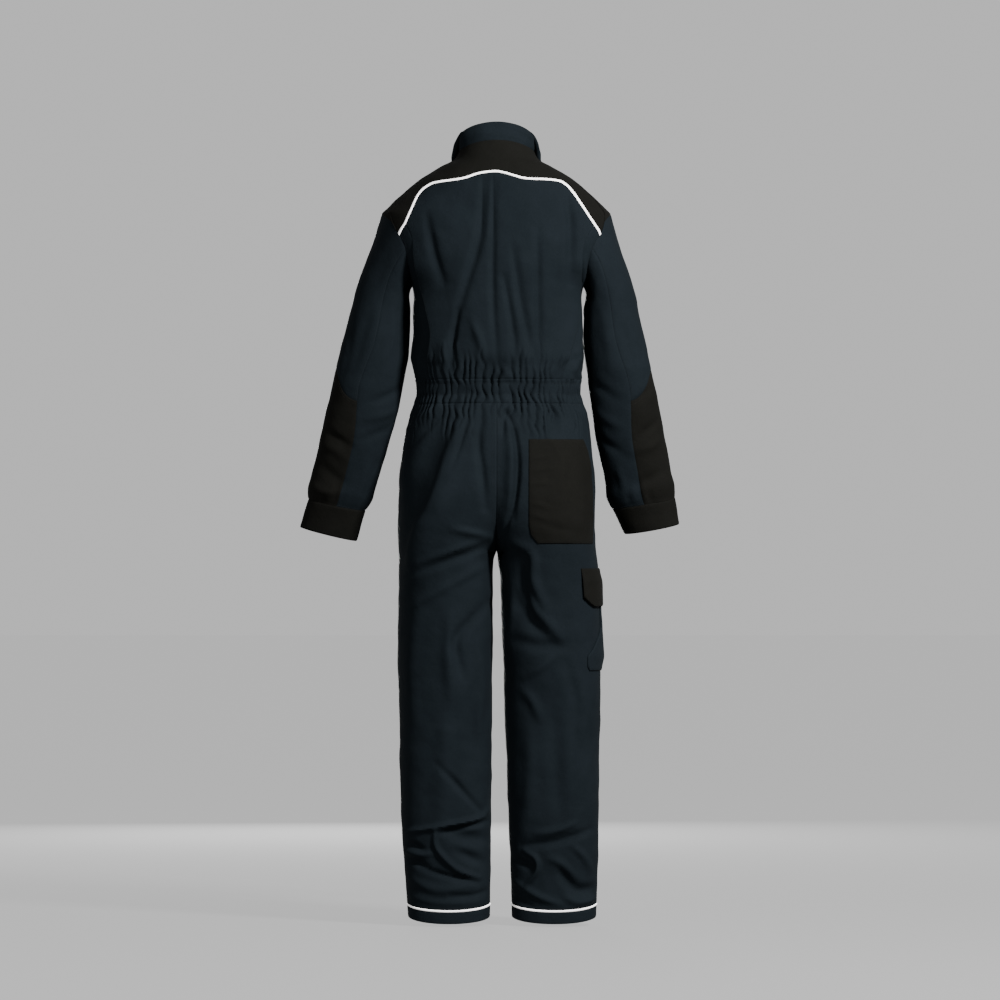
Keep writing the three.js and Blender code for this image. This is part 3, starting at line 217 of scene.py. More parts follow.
# Creases: half width, height (below zero is a trough), in some how much wider one flank is than
# the other, then x and z of each point along the line
BACK_FOLDS = read_folds("""
9 -4.5 23 -44 34 -160 61 -252 79 -316
6 -5 77 -304 87 -370 89 -432
7 -3 3 -52 7 -168 7 -282 -1 -398
8 -3.5 0.2 -31 -176 -51 -302 -69 -384
8 -3 -81 -144 -85 -378 -87 -432
9 -5 -140 -76 -149 -148 -145 -248
9 -4 139 -114 125 -190 107 -248
7 -3 -15 -236 -35 -360 -35 -420
13 4 101 -360 103 -416
8 3.2 49 -324 35 -360 25 -392
8 2.5 -57 -384 -59 -424
3 -1.6 29 -40 29 -80 31 -152
3 -1.4 7 -36 7 -80 7 -160
5 3 -175 -200 -171 -322 -155 -418
6 2.5 153 -280 145 -360 153 -424
17 10 0.35 75 -540 93 -588 109 -646 129 -696 157 -748 171 -812
20 -7.5 93 -512 133 -584 161 -656 183 -716
5 -4.5 -17 -504 -35 -544 -43 -600 -39 -660 -25 -716 -9 -760
15 -5 -31 -856 -67 -916 -111 -964
8 -4 29 -506 36 -570 29 -620 21 -696
10 4 -25 -528 -29 -600 -25 -692
12 -6 13 -770 1 -782 -13 -774
5 -3 -23 -488 -15 -520 -13 -556
6 -4 -33 -546 -41 -616 -33 -720
5 3 0.3 -87 -484 -93 -520 -101 -558
10 -3.5 -113 -488 -119 -554
7 -3 101 -500 145 -544 181 -584
6 2.5 113 -488 189 -548
6 -3 53 -496 69 -560 89 -620
8 -5 0.2 170 -828 93 -800 17 -772
7 3.5 87 -738 49 -746 13 -754
7 3 153 -804 83 -780 25 -760
8 2.5 181 -900 113 -860 25 -812
9 5 0.2 -25 -764 -69 -788 -73 -842 -99 -898
8 -4 -47 -804 -53 -860 -69 -908
9 3 -19 -800 -31 -880 -23 -980
11 -5 13 -884 53 -924 81 -960 75 -1000 63 -1034
12 4 93 -910 95 -990 91 -1084
9 3 37 -960 29 -1040 37 -1140
14 2.5 153 -880 169 -1000 165 -1120
11 -5 -37 -960 -87 -970 -135 -968
11 4 -57 -880 -93 -916 -127 -956
9 3.5 -59 -1030 -83 -1016 -107 -996
9 3 -51 -1056 -71 -1080 -87 -1114
12 -3 -139 -1008 -159 -1080 -155 -1200
18 3 101 -1080 105 -1200 113 -1332
12 -2.5 53 -1060 45 -1160 53 -1260
16 -3 -111 -1080 -119 -1200 -127 -1336
14 3 -63 -1140 -67 -1240 -55 -1332
6 -3.5 119 -1204 73 -1252 27 -1304
5 5.5 185 -1342 113 -1330 37 -1314 17 -1298
5 -4 113 -1344 53 -1330 17 -1320
5 5.5 123 -1336 119 -1374 83 -1410 35 -1430
12 -8 93 -1342 61 -1350 25 -1356
9 -5 77 -1380 53 -1390 29 -1400
5 -4 153 -1410 97 -1424 37 -1436
6 -4.5 183 -1364 165 -1368 145 -1376
6 -4.5 179 -1394 157 -1402 137 -1408
5 -3 93 -1458 53 -1460 15 -1456
6 4 185 -1380 153 -1386 129 -1384
8 3.5 173 -1432 121 -1448 53 -1444
6 2.5 173 -1466 113 -1472 21 -1474
8 -5 -51 -1368 -119 -1360 -187 -1338
7 4 -79 -1344 -119 -1338 -155 -1324
5 6 -55 -1378 -79 -1394 -81 -1416 -61 -1440
9 -8 -127 -1420 -159 -1448 -195 -1452
6 5 -139 -1464 -167 -1474 -199 -1472
6 4.5 -35 -1438 -83 -1460 -131 -1476
6 -5 -29 -1394 -47 -1400 -67 -1408
7 4 -155 -1372 -175 -1392 -185 -1416
7 3.5 -103 -1392 -131 -1404 -155 -1424
6 -3.5 -31 -1466 -67 -1480 -103 -1484
6 3 -147 -1480 -175 -1476 -195 -1472
""")
FRONT_FOLDS = read_folds("""
11 -4 60 -130 72 -260 58 -380
12 -3.5 120 -170 112 -300 118 -400
11 -4 -54 -130 -70 -250 -62 -390
12 -3.5 -116 -160 -122 -290 -104 -400
10 3 30 -180 34 -300 30 -420
10 3 -30 -170 -36 -290 -28 -430
12 3 150 -240 96 -330 40 -360
12 3 -150 -240 -104 -320 -46 -370
10 -3.5 150 -380 90 -420 30 -410
10 -3.5 -150 -390 -90 -424 -34 -412
12 -4 140 -520 96 -580 36 -640
12 -4 -140 -515 -90 -580 -34 -650
13 4 160 -600 110 -670 50 -730
13 4 -160 -610 -104 -680 -44 -736
12 -5 0.2 170 -700 100 -760 14 -778
12 -5 0.2 -170 -706 -100 -764 -16 -776
12 4 150 -820 90 -812 20 -800
12 4 -160 -826 -96 -812 -20 -802
13 -3 170 -880 110 -900 40 -860
13 -3 -176 -876 -110 -900 -40 -866
12 4 40 -980 90 -1010 150 -996
11 -4.5 60 -1040 104 -1052 166 -1030
12 4 -50 -984 -96 -1006 -160 -1000
11 -4.5 -64 -1044 -110 -1056 -170 -1034
16 3 90 -1080 96 -1180 88 -1290
16 3 -104 -1084 -112 -1190 -104 -1296
9 4.5 30 -1330 90 -1340 170 -1316
10 -6 44 -1368 110 -1380 160 -1366
8 4.5 40 -1404 96 -1416 150 -1398
9 -5 60 -1440 110 -1450 160 -1436
9 4.5 -50 -1336 -110 -1346 -180 -1322
10 -6 -56 -1374 -120 -1384 -176 -1368
8 4.5 -60 -1410 -116 -1424 -180 -1402
9 -5 -70 -1446 -120 -1456 -180 -1440
""")
POCKET_FOLDS = read_folds("""
7 -1.2 84 -580 86 -640 82 -700
7 2.5 104 -570 112 -610 108 -660
8 -2 128 -600 124 -660 130 -720
8 2 152 -640 146 -700 150 -750
8 -2 76 -720 100 -736 130 -742
4 1.9 66 -598 94 -592
4 2.1 66 -622 98 -616
4 1.9 66 -648 92 -646
4 1.9 66 -684 96 -698
4 1.9 66 -708 90 -720
""")
# Creases of the sleeves: the points' first value is degrees round the arm
SLEEVE_FOLDS = {
    "left": read_folds("""
8 -4.5 0.2 30 -540 60 -556 92 -578
8 3 20 -566 60 -580 84 -600
7 -7 168 -236 150 -250 138 -262
11 -3 70 -300 66 -360 72 -430
11 3 112 -280 118 -350 110 -420
9 -5 164 -452 132 -476 104 -490
9 4 160 -500 130 -512 98 -520
9 -4 156 -534 128 -548 106 -560
9 -3.5 40 -610 70 -632 96 -650
8 3 30 -650 64 -664 92 -668
8 2.5 120 -600 126 -640 120 -676
4.5 -3.5 82 -640 84 -690
4 -2.5 96 -660 97 -692
4 -2 60 -668 58 -692
12 -2.5 20 -320 44 -380 50 -430
10 -6 -60 -440 -96 -458 -132 -452
9 5 -50 -486 -90 -500 -126 -492
9 -4.5 -64 -524 -100 -540 -142 -532
12 3 -70 -300 -76 -360 -70 -420
12 -3 -110 -280 -120 -340 -110 -410
10 -3 -60 -600 -96 -622 -120 -640
"""),
    "right": read_folds("""
8 -4 0.2 34 -452 62 -470 96 -492
8 -4 24 -520 58 -538 84 -560
8 3 28 -556 62 -574 92 -584
7 -6 166 -240 150 -258 136 -276
11 -3 66 -290 70 -350 66 -420
11 3 108 -300 104 -360 112 -430
9 -4.5 160 -440 132 -462 108 -484
9 4 158 -500 130 -520 104 -536
9 -4 154 -556 132 -572 110 -590
9 -3 44 -620 74 -640 98 -652
8 2.5 124 -610 120 -650 124 -676
4.5 -3.5 92 -640 93 -686
4 -2.5 76 -656 76 -688
4 -2 112 -664 114 -688
12 -2.5 16 -330 40 -390 44 -430
10 -6 -56 -446 -92 -462 -134 -456
9 5 -52 -490 -88 -504 -128 -498
9 -4.5 -66 -530 -104 -544 -140 -538
12 3 -72 -306 -70 -366 -74 -424
12 -3 -112 -290 -116 -346 -108 -410
10 -3 -62 -606 -98 -624 -122 -646
"""),
}
DEGREE_MM = 1.08


def at(rows, key, z):
    """Smooth value of one column of a table at each height."""
    zs, values = rows["z"], rows[key]
    z = np.clip(np.asarray(z, float), zs[-1], zs[0])
    i = np.clip(np.searchsorted(-zs, -z) - 1, 0, len(zs) - 2)
    wide_z, wide = np.pad(zs, 1, "edge"), np.pad(values, 1, "edge")
    slope = (wide[2:] - wide[:-2]) / (wide_z[2:] - wide_z[:-2])
    span = zs[i + 1] - zs[i]
    return hermite(values[i], values[i + 1], slope[i] * span, slope[i + 1] * span,
                   (z - zs[i]) / span)


def hermite(a, b, leave, arrive, t):
    """A smooth run from a to b with the slopes that it leaves and arrives with."""
    t2, t3 = t * t, t * t * t
    return ((2 * t3 - 3 * t2 + 1) * a + (t3 - 2 * t2 + t) * leave
            + (3 * t2 - 2 * t3) * b + (t3 - t2) * arrive)


def mix(a, b, t):
    return a + (b - a) * t


def smooth(start, end, value):
    t = np.clip((value - start) / (end - start), 0, 1)
    return t * t * (3 - 2 * t)


def runs(points, axis=0):
    """How far each point is along its line of points."""
    steps = np.linalg.norm(np.diff(points, axis=axis), axis=-1)
    return np.pad(np.cumsum(steps, axis), [(int(axis == k), 0) for k in range(steps.ndim)])


def interp_points(places, run, points):
    return np.stack([np.interp(places, run, points[:, k]) for k in range(3)], -1)


def unit(v):
    return v / np.maximum(np.linalg.norm(v, axis=-1, keepdims=True), 1e-9)


def across(angle):
    return cos(angle) * (1 + SQUARENESS * sin(angle) ** 2)


def along(angle):
    return sin(angle) * (1 + SQUARENESS * cos(angle) ** 2)


ANGLES = np.linspace(0, pi, 8001)


def angle_for(share):
    return np.interp(-np.asarray(share, float), -across(ANGLES), ANGLES)


def through(a, b, c, d, t):
    """A place between b and c on the smooth line through four points."""
    return 0.5 * (2 * b + (c - a) * t + (2 * a - 5 * b + 4 * c - d) * t ** 2
                  + (3 * b - a - 3 * c + d) * t ** 3)


def rounded(p, steps=4):
    """A smooth line through the points."""
    if len(p) < 3:
        return p
    full = np.vstack([2 * p[0] - p[1], p, 2 * p[-1] - p[-2]])
    out = [through(*full[k - 1:k + 3], t) for k in range(1, len(full) - 2)
           for t in np.arange(steps) / steps]
    return np.array(out + [p[-1]])


def creases(folds, x, z, scale=(1, 1)):
    """Height of all creases together at each place."""
    x, z = np.broadcast_arrays(x, z)
    total = np.zeros(x.shape)
    for (width, height, *lean), points in folds:
        line = rounded(points.reshape(-1, 2) * scale)
        low, high = line.min(0) - 3 * width, line.max(0) + 3 * width
        near = (x > low[0]) & (x < high[0]) & (z > low[1]) & (z < high[1])
        if not near.any():
            continue
        run, step = runs(line), np.diff(line, axis=0)[:, None]
        length = np.diff(run)[:, None]
        offset = np.stack([x[near], z[near]], -1) - line[:-1, None]
        t = np.clip((offset * step).sum(-1) / length ** 2, 0, 1)
        offset = offset - t[..., None] * step
        away = np.linalg.norm(offset, axis=-1)
        share = (run[:-1, None] + t * length) / run[-1]
        flank = np.sign(offset[..., 0] * step[..., 1] - offset[..., 1] * step[..., 0])
        nearest = away.argmin(0)[None]
        away, share, flank = (np.take_along_axis(v, nearest, 0)[0] for v in (away, share, flank))
        total[near] += (height * np.exp(-(away / width / (1 + sum(lean) * flank)) ** 2)
                        * (0.3 + 0.7 * sin(pi * share)))
    return total


FOLD_DEPTH = 1.85
FOLD_LIMIT = 12

RIPPLES = [
    (0.062, 0.018, 0.0, 0.34), (0.035, -0.051, 1.7, 0.32), (-0.071, 0.032, 4.1, 0.26),
    (0.118, 0.041, 2.3, 0.2), (-0.093, -0.084, 5.2, 0.18), (0.021, 0.12, 3.3, 0.2),
    (0.164, -0.07, 0.8, 0.12), (-0.05, 0.19, 2.9, 0.1), (0.21, 0.11, 4.6, 0.08),
]


def ripple(x, z, seed=0.0):
    """Slight unevenness that all the cloth has."""
    total = 0.0
    for kx, kz, phase, height in RIPPLES:
        bend = 0.6 * sin(0.013 * x - 0.017 * z + phase * 2 + seed)
        total = total + height * sin(kx * x + kz * z + phase + seed * 1.9 + bend * 2)
    return total


# Bands of the gathered waist between the rows of sewing: top, bottom and how far each puffs out
WAIST_BANDS = [(-412, -448, 2.6), (-448, -470, 2.4), (-470, -488, 2.0), (-488, -516, 1.4)]


def gathers(angle, z):
    """Tucks that the waist elastic draws up across the back, a little different in each band."""
    a = np.clip(angle, 0, pi)
    z = np.broadcast_to(z, np.shape(a))
    top = -396 + 16 * sin(7 * a + 0.5) + 12 * sin(19 * a) + 8 * sin(41 * a)
    low = -530 + 16 * sin(8 * a + 2) + 12 * sin(21 * a + 1) + 8 * sin(37 * a)
    env = smooth(top + 26, top - 24, z) * smooth(low - 30, low + 34, z)
    slip = 0.012 * sin(z / 9 + 5 * a) + 0.008 * sin(z / 5 + 17 * a)
    phase = GATHERS * (a + slip + 0.022 * sin(9 * a + 1) + 0.014 * sin(23 * a + 2))
    wave = abs(cos(phase)) ** 0.7 * 2 - 1.2
    uneven = 0.75 + 0.3 * sin(5 * a + 2 + z / 30) + 0.3 * sin(13 * a - z / 14)
    total = 2.9 * wave * np.clip(uneven, 0.25, 1.4) * env
    for high, deep, puff in WAIST_BANDS:
        share = np.clip((high - z) / (high - deep), 0, 1)
        total = total + puff * (sin(pi * share) ** 0.6) * (0.8 + 0.35 * sin(
            2 * phase + high)) * (0.8 + 0.3 * sin(6 * a + high))
    broad = 5.5 * np.exp(-((z + 392) / 24) ** 2) * (0.7 + 0.5 * sin(4.3 * a + 0.6))
    held = -2.6 * np.exp(-((z + 464) / 24) ** 2)
    ends = smooth(0, 0.14, a) * smooth(pi, pi - 0.14, a)
    return np.where((angle > 0) & (angle < pi), (total + broad + held) * ends, 0)


def body_relief(p, angle):
    """Height of the cloth over the plain form of the body and legs."""
    x, y, z = np.moveaxis(p, -1, 0)
    lines = np.where(y >= 0, creases(BACK_FOLDS, x, z), creases(FRONT_FOLDS, x, z))
    lines = FOLD_LIMIT * np.tanh(FOLD_DEPTH * lines / FOLD_LIMIT) * smooth(0, 40, abs(y))
    hem = smooth(HEM_PIPING_Z - 4, HEM_PIPING_Z + 24, z)
    neck = smooth(20, -40, z)
    return (lines + ripple(x + 0.4 * y, z)) * mix(0.35, 1, hem) * neck + gathers(angle, z)


def torso_base(angle, z):
    half = np.where(cos(angle) >= 0, at(TORSO, "left", z), at(TORSO, "right", z))
    depth = np.where(sin(angle) >= 0, at(TORSO, "back", z), at(TORSO, "front", z))
    z = np.broadcast_to(z, np.shape(half))
    return np.stack([half * across(angle), depth * along(angle), z], -1)


def torso_normal(angle, z):
    around = torso_base(angle + 0.01, z) - torso_base(angle - 0.01, z)
    up = torso_base(angle, z + 0.5) - torso_base(angle, z - 0.5)
    normal = unit(np.cross(around, up))
    normal[..., 2] *= smooth(WAIST_TOP_Z, -300, z)
    return unit(normal)


def torso_point(angle, z, lift=0.0):
    angle, z, lift = np.broadcast_arrays(angle, z, lift)
    p = torso_base(angle, z)
    return p + torso_normal(angle, z) * (lift + body_relief(p, angle))[..., None]


def from_side(side, angle):
    """An angle that is measured from one side, measured from the left."""
    return angle if side == "left" else pi - angle


def torso_angle(side, x, z):
    return from_side(side, angle_for(np.minimum(x / at(TORSO, side, z), 1)))


def leg_sizes(side, z):
    rows = LEG[side]
    half = (at(rows, "outer", z) - at(rows, "inner", z)) / (1 + at(rows, "close", z))
    return half, at(rows, "outer", z) - half


def leg_base(side, angle, z):
    rows = LEG[side]
    half, centre = leg_sizes(side, z)
    depth = np.where(angle >= 0, at(rows, "back", z), at(rows, "front", z))
    x = centre + half * across(angle)
    return np.stack([SIGN[side] * x, depth * along(angle), np.broadcast_to(z, x.shape)], -1)


def leg_point(side, angle, z, lift=0.0):
    angle, z, lift = np.broadcast_arrays(angle, z, lift)
    sign = SIGN[side]
    around = leg_base(side, angle + 0.01, z) - leg_base(side, angle - 0.01, z)
    normal = np.stack([around[..., 1], -around[..., 0], np.zeros(around.shape[:-1])], -1)
    normal = unit(normal * sign)
    p = leg_base(side, angle, z)
    joined = smooth(0, 0.2, at(LEG[side], "close", z)) * (z > CROTCH_Z)
    at_middle = mix(1, smooth(0, 16, abs(p[..., 0])), joined)
    turn = np.where(angle > 0, from_side(side, angle), -1)
    height = lift + body_relief(p, turn) * at_middle
    p = p + normal * height[..., None]
    limit = np.where(z > CROTCH_Z, HALF_SEAM, 0)
    p[..., 0] = sign * np.maximum(sign * p[..., 0], limit)
    p[..., 2] -= HEM_BOW * smooth(-1380, HEM_PIPING_Z, z) * np.maximum(sin(angle), 0) ** 1.5
    return p


def leg_angle(side, x, z):
    half, centre = leg_sizes(side, z)
    return angle_for((x - centre) / half)


# Cloth shells

panels = {}


def close_steps(count, length, edge=1.4):
    """Steps from 0 to 1, with one more close to each end so that an edge can roll in."""
    close = min(edge / length, 0.4 / count)
    return join([[0, close], np.linspace(0, 1, count + 1)[1:-1], [1 - close, 1]])


def grid_normals(grid, centre, ring):
    padded = join([grid[:, -1:], grid, grid[:, :1]], 1) if ring else grid
    beside = np.gradient(padded, axis=1)
    if ring:
        beside = beside[:, 1:-1]
    normal = unit(np.cross(beside, np.gradient(grid, axis=0)))
    return -normal if np.sum(normal * (grid - centre)) < 0 else normal


def edge_distance(grid, ring):
    """Distance of each point from the nearest border of its panel."""
    run = runs(grid)
    away = np.minimum(run, run[-1:] - run)
    if not ring:
        run = runs(grid, 1)
        away = np.minimum(away, np.minimum(run, run[:, -1:] - run))
    return away


def add_mesh(name, points, faces, material):
    mesh = bpy.data.meshes.new(name)
    mesh.from_pydata(points, [], faces)
    mesh.materials.append(material)
    piece = bpy.data.objects.new(name, mesh)
    bpy.context.scene.collection.objects.link(piece)
    return piece


def add_blocks(name, corners, faces, finish):
    """Many blocks in one mesh, each with eight corners."""
    points = np.stack(corners, 1) * MM
    faces = np.array(faces) + 8 * np.arange(len(points))[:, None, None]
    return add_mesh(name, points.reshape(-1, 3).tolist(), faces.reshape(-1, 4).tolist(),
                    MATERIALS[finish])


def shell(name, outer, inner, ring, finish):
    """A closed thin wall from matching grids of outer and inner points."""
    rows, columns = outer.shape[:2]
    points = join([outer.reshape(-1, 3), inner.reshape(-1, 3)]) * MM
    layer = rows * columns
    index = np.arange(layer).reshape(rows, columns)
    if ring:
        index = np.hstack([index, index[:, :1]])

    def quads(*corners):
        return np.stack(corners, -1).reshape(-1, 4)

    a, b, c, d = index[:-1, :-1], index[:-1, 1:], index[1:, 1:], index[1:, :-1]
    faces = [quads(a, b, c, d), quads(a, d, c, b) + layer]
    borders = [index[0], index[-1, ::-1]]
    if not ring:
        borders += [index[::-1, 0], index[:, -1]]
    for line in borders:
        here, after = line[:-1], line[1:]
        faces.append(quads(here, here + layer, after + layer, after))
    faces = join(faces)
    pa, pb, pc = (points[faces[:, q]] for q in (0, 1, 2))
    if np.sum(np.cross(pa, pb) * pc) < 0:
        faces = faces[:, ::-1]
    piece = add_mesh(name, points.tolist(), faces.tolist(), MATERIALS[finish])
    mesh = piece.data
    u, v = runs(outer, 1) * MM, runs(outer) * MM
    u = u - u.mean(1, keepdims=True)
    uv = np.tile(np.stack([u, v], -1).reshape(-1, 2), (2, 1))
    loops = np.zeros(len(mesh.loops), int)
    mesh.loops.foreach_get("vertex_index", loops)
    mesh.uv_layers.new(name="cloth").data.foreach_set("uv", uv[loops].astype(np.float32).ravel())
    mesh.polygons.foreach_set("use_smooth", np.ones(len(mesh.polygons), bool))
    mesh.set_sharp_from_angle(angle=radians(55))
    mesh.update()
    return piece


PIPING_STEPS = np.linspace(0, 1, 7)[:, None]
PIPING_LIFTS = PIPING_LIFT * (0.25 + 1.1 * sin(pi * PIPING_STEPS) ** 0.6)
# A piping strip is cut twice as wide as what shows of it
FOLDED_STRIP = (2 * PIPING_WIDTH + 3) * MM


def cloth(node, finish, grid, centre=None, ring=False, thick=CLOTH, roll=0.8, held="hung",
          fuller=1.0):
    """Cloth in place of one solid: its edges roll in slightly, and the width and length of its cut
    are worked out but not kept.
    """
    normal = grid_normals(grid, body_axis(grid) if centre is None else centre, ring)
    away = edge_distance(grid, ring)
    if node.startswith("leg"):
        roll = roll * abs(normal[..., 1])
    grid = grid - normal * (roll * np.exp(-(away / 1.5) ** 2))[..., None]
    piece = shell("cloth_" + node, grid, grid - normal * thick, ring, finish)
    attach(piece, "suit")
    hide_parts(node)
    steps = np.roll(grid, -1, 1) - grid if ring else np.diff(grid, axis=1)
    width = np.linalg.norm(steps, axis=-1).sum(1).max() * MM * fuller
    length = np.linalg.norm(np.diff(grid, axis=0), axis=-1).sum(0).max() * MM
    width, length = round(width, 3), round(max(length, FOLDED_STRIP), 4)
    panels[node] = {"grid": grid, "normal": normal, "finish": finish, "ring": ring}


# Upper body


def armhole_place(side, face, step):
    step = np.asarray(step, float)
    middle = (ARMHOLE_TOP_Z + ARMHOLE_BOTTOM_Z) / 2
    reach = (ARMHOLE_TOP_Z - ARMHOLE_BOTTOM_Z) / 2
    z = middle + reach * cos(step * RAD)
    share = at(ARMHOLE[side], "x", z) / at(TORSO, side, z)
    inward = np.where((step == 0) | (step == 180), 0, angle_for(np.minimum(share, 1)))
    return face * from_side(side, inward), z


def yoke_line_point(share):
    count = len(YOKE_LINE) - 1
    i = np.minimum(np.floor(share * count).astype(int), count - 1)
    t = (share * count - i)[..., None]
    return through(YOKE_LINE[np.maximum(i - 1, 0)], YOKE_LINE[i], YOKE_LINE[i + 1],
                   YOKE_LINE[np.minimum(i + 2, count)], t)


def signed_torso_angle(x, z):
    left = torso_angle("left", abs(x), z)
    right = torso_angle("right", abs(x), z)
    return np.where(x >= 0, left, right)


def yoke_line_place(share, offset):
    share = np.atleast_1d(np.asarray(share, float))
    p = yoke_line_point(share)
    before, after = np.clip([share - 0.004, share + 0.004], 0, 1)
    step = unit(yoke_line_point(after) - yoke_line_point(before))
    x = p[:, 0] - step[:, 1] * offset
    z = p[:, 1] + step[:, 0] * offset
    return signed_torso_angle(x, z), z


LINE_STEPS = 190
PLEAT_SHARE = {"left": 1 / 17, "right": 16 / 17}
line_shares = PLEAT_SHARE["left"] + (PLEAT_SHARE["right"] - PLEAT_SHARE["left"]) * close_steps(
    LINE_STEPS, 400)
EDGE = PIPING_WIDTH / 2
SIDE_STEPS = 12


def back_line(offset, stop):
    """The back yoke line between both armholes at a distance from its middle."""
    line = np.array(yoke_line_place(line_shares, offset))
    t = np.arange(SIDE_STEPS) / SIDE_STEPS
    left, right = (np.array(armhole_place(side, 1, stop))[:, None] for side in SIGN)
    return np.hstack([mix(left, line[:, :1], t), line, mix(right, line[:, -1:], t)[:, ::-1]])


FRONT_STEPS = 46


def front_line(side, offset, stop):
    """The front yoke line from the zip to the armhole."""
    end_angle, end_z = armhole_place(side, -1, stop)
    t = close_steps(FRONT_STEPS, 230)[:-1]
    z = mix(FRONT_LINE_MIDDLE_Z, FRONT_LINE_SIDE_Z, t * t) + offset
    angle = -mix(torso_angle(side, ZIP_EDGE, z), abs(end_angle), t)
    return np.append(angle, end_angle), np.append(z, end_z)


def yoke_lower_edge():
    """The yoke's lower edge from the left front over the back to the right front."""
    corner = np.linspace(0, YOKE_STEP, 13)
    left, right = (np.hstack([np.array(front_line(side, EDGE + SEAM, YOKE_STEP))[:, :-1],
                              armhole_place(side, -1, corner[:0:-1]),
                              armhole_place(side, 1, corner[:-1])]) for side in SIGN)
    return np.hstack([left, back_line(-(EDGE + 2 * SEAM), YOKE_STEP), right[:, ::-1]])


yoke_edge = yoke_lower_edge()
CORNER_Z = -62
COLLAR_TOP = dict(half=84, back=65, front=69, z=29, rise=37)
CORNER_ANGLE = 36 * RAD


def nape_lift(turn):
    """How much higher the neck seam and collar stand at the middle of the back."""
    return NAPE_LIFT * np.maximum(sin(turn), 0) ** 3


def neck_place(turn):
    """A place on the neck seam; the turn runs from the left side over the back."""
    z = NECK_Z + NECK_RISE * sin(turn) + nape_lift(turn)
    half = np.where(cos(turn) >= 0, at(TORSO, "left", NECK_Z), at(TORSO, "right", NECK_Z))
    x = half * across(turn)
    angle = signed_torso_angle(x, z)
    return np.where(sin(turn) >= 0, angle, -angle), z


def neck_seam():
    angle, z = yoke_edge
    run = runs(torso_base(angle, z))
    at_top = z > ARMHOLE_TOP_Z - 1
    tip_left = np.argmax((angle == 0) & at_top)
    tip_right = np.argmax((abs(abs(angle) - pi) < 1e-9) & at_top)
    steps = np.arange(len(z))
    high = steps[(steps > tip_left + 14) & (steps < tip_right - 8) & (z > CORNER_Z)]
    zip_left = -angle_for(ZIP_EDGE / at(TORSO, "left", NECK_Z))
    stops = [0, tip_left, high[0], high[-1], tip_right, len(z) - 1]
    turns = [zip_left, 0, CORNER_ANGLE, pi - CORNER_ANGLE, pi, pi - zip_left]
    return np.interp(run, run[stops], turns)


neck_turn = neck_seam()
neck_angle, neck_z = neck_place(neck_turn)


def between(first, last, t):
    turn = (last[0] - first[0] + pi) % (2 * pi) - pi
    t = t[:, None]
    return first[0] + turn * t, mix(first[1], last[1], t)


def body_axis(grid):
    """The middle of the body, a little below each point."""
    return grid * [0, 0, 1] - [0, 0, 30]


def outer_edge(side, face, end):
    """A panel's edge down the armhole and the side seam."""
    angle, z = armhole_place(side, face, np.append(PANEL_STEP, np.arange(76, 180, 5.5)))
    tall = join([[ARMHOLE_BOTTOM_Z], np.arange(-260, end, -5), [end]])
    return np.append(angle, side_angle(side, face, tall)), np.append(z, tall)


def build_yoke():
    angle, z = between((neck_angle, neck_z), yoke_edge, close_steps(26, 130) ** 0.85)
    cloth("yoke", "black", torso_point(angle, z))


def build_collar():
    turn, half = neck_turn, COLLAR_TOP["half"]
    normal = torso_normal(neck_angle, neck_z)
    seam = torso_point(neck_angle, neck_z)
    up = unit(torso_point(neck_angle, neck_z + 1) - seam)
    depth = np.where(sin(turn) > 0, COLLAR_TOP["back"], COLLAR_TOP["front"])
    crown = COLLAR_TOP["z"] + COLLAR_TOP["rise"] * sin(turn) + nape_lift(turn)
    rim = np.stack([half * across(turn), depth * along(turn), crown], -1)
    near = (sin(turn) < 0) & (abs(rim[:, 0]) < ZIP_EDGE * 3)
    rim[near, 0] = (np.sign(seam[:, 0]) * np.maximum(abs(seam[:, 0]), ZIP_EDGE))[near]
    flat = unit(np.stack([depth * cos(turn), half * sin(turn), 0 * turn], -1))
    rows = []
    for t in (-0.16, -0.06, *close_steps(14, 55)):
        wave = 0.7 * sin(5 * turn + 1) + 0.5 * sin(11 * turn) + 0.4 * sin(3 * turn + 9 * t)
        swell = max(sin(pi * t), 0)
        bulge = 2.2 * swell + wave * swell ** 0.5
        row = mix(seam + up * SEAM, rim, t) + flat * bulge[:, None]
        rows.append(row - normal * (1.5 if t < 0 else 0))
    cloth("collar", "navy", np.array(rows), thick=DOUBLE)


def build_piping():
    shift = 0.35
    high, low = YOKE_STEP + shift, PANEL_STEP - shift
    piping("yoke_piping_back", back_line(-EDGE, high), back_line(EDGE, low))
    for side in SIGN:
        piping(f"yoke_piping_front_{side}", front_line(side, EDGE, high),
               front_line(side, -EDGE, low))


def build_back_panel():
    """The centre back, its folded edges raised over the side panels."""
    head_angle, head_z = yoke_line_place(line_shares, EDGE + SEAM)
    share = (line_shares - PLEAT_SHARE["left"]) / (PLEAT_SHARE["right"] - PLEAT_SHARE["left"])
    t = close_steps(84, 310)[:, None]
    z = mix(head_z, WAIST_TOP_Z + HALF_SEAM, t)

    def spread(h):
        return mix(at(PLEAT["left"], "x", h), -at(PLEAT["right"], "x", h), share)

    head = torso_base(head_angle, head_z)[:, 0] - spread(head_z)
    angle = signed_torso_angle(spread(z) + head * (1 - smooth(0, 0.25, t)), z)
    rim = np.minimum(share, 1 - share)
    lift = PLEAT_RAISE * np.maximum(0, 1 - rim * 7) ** 1.3 * pleat_depth(z)
    cloth("back_panel", "navy", torso_point(angle, z, lift), roll=1.2)


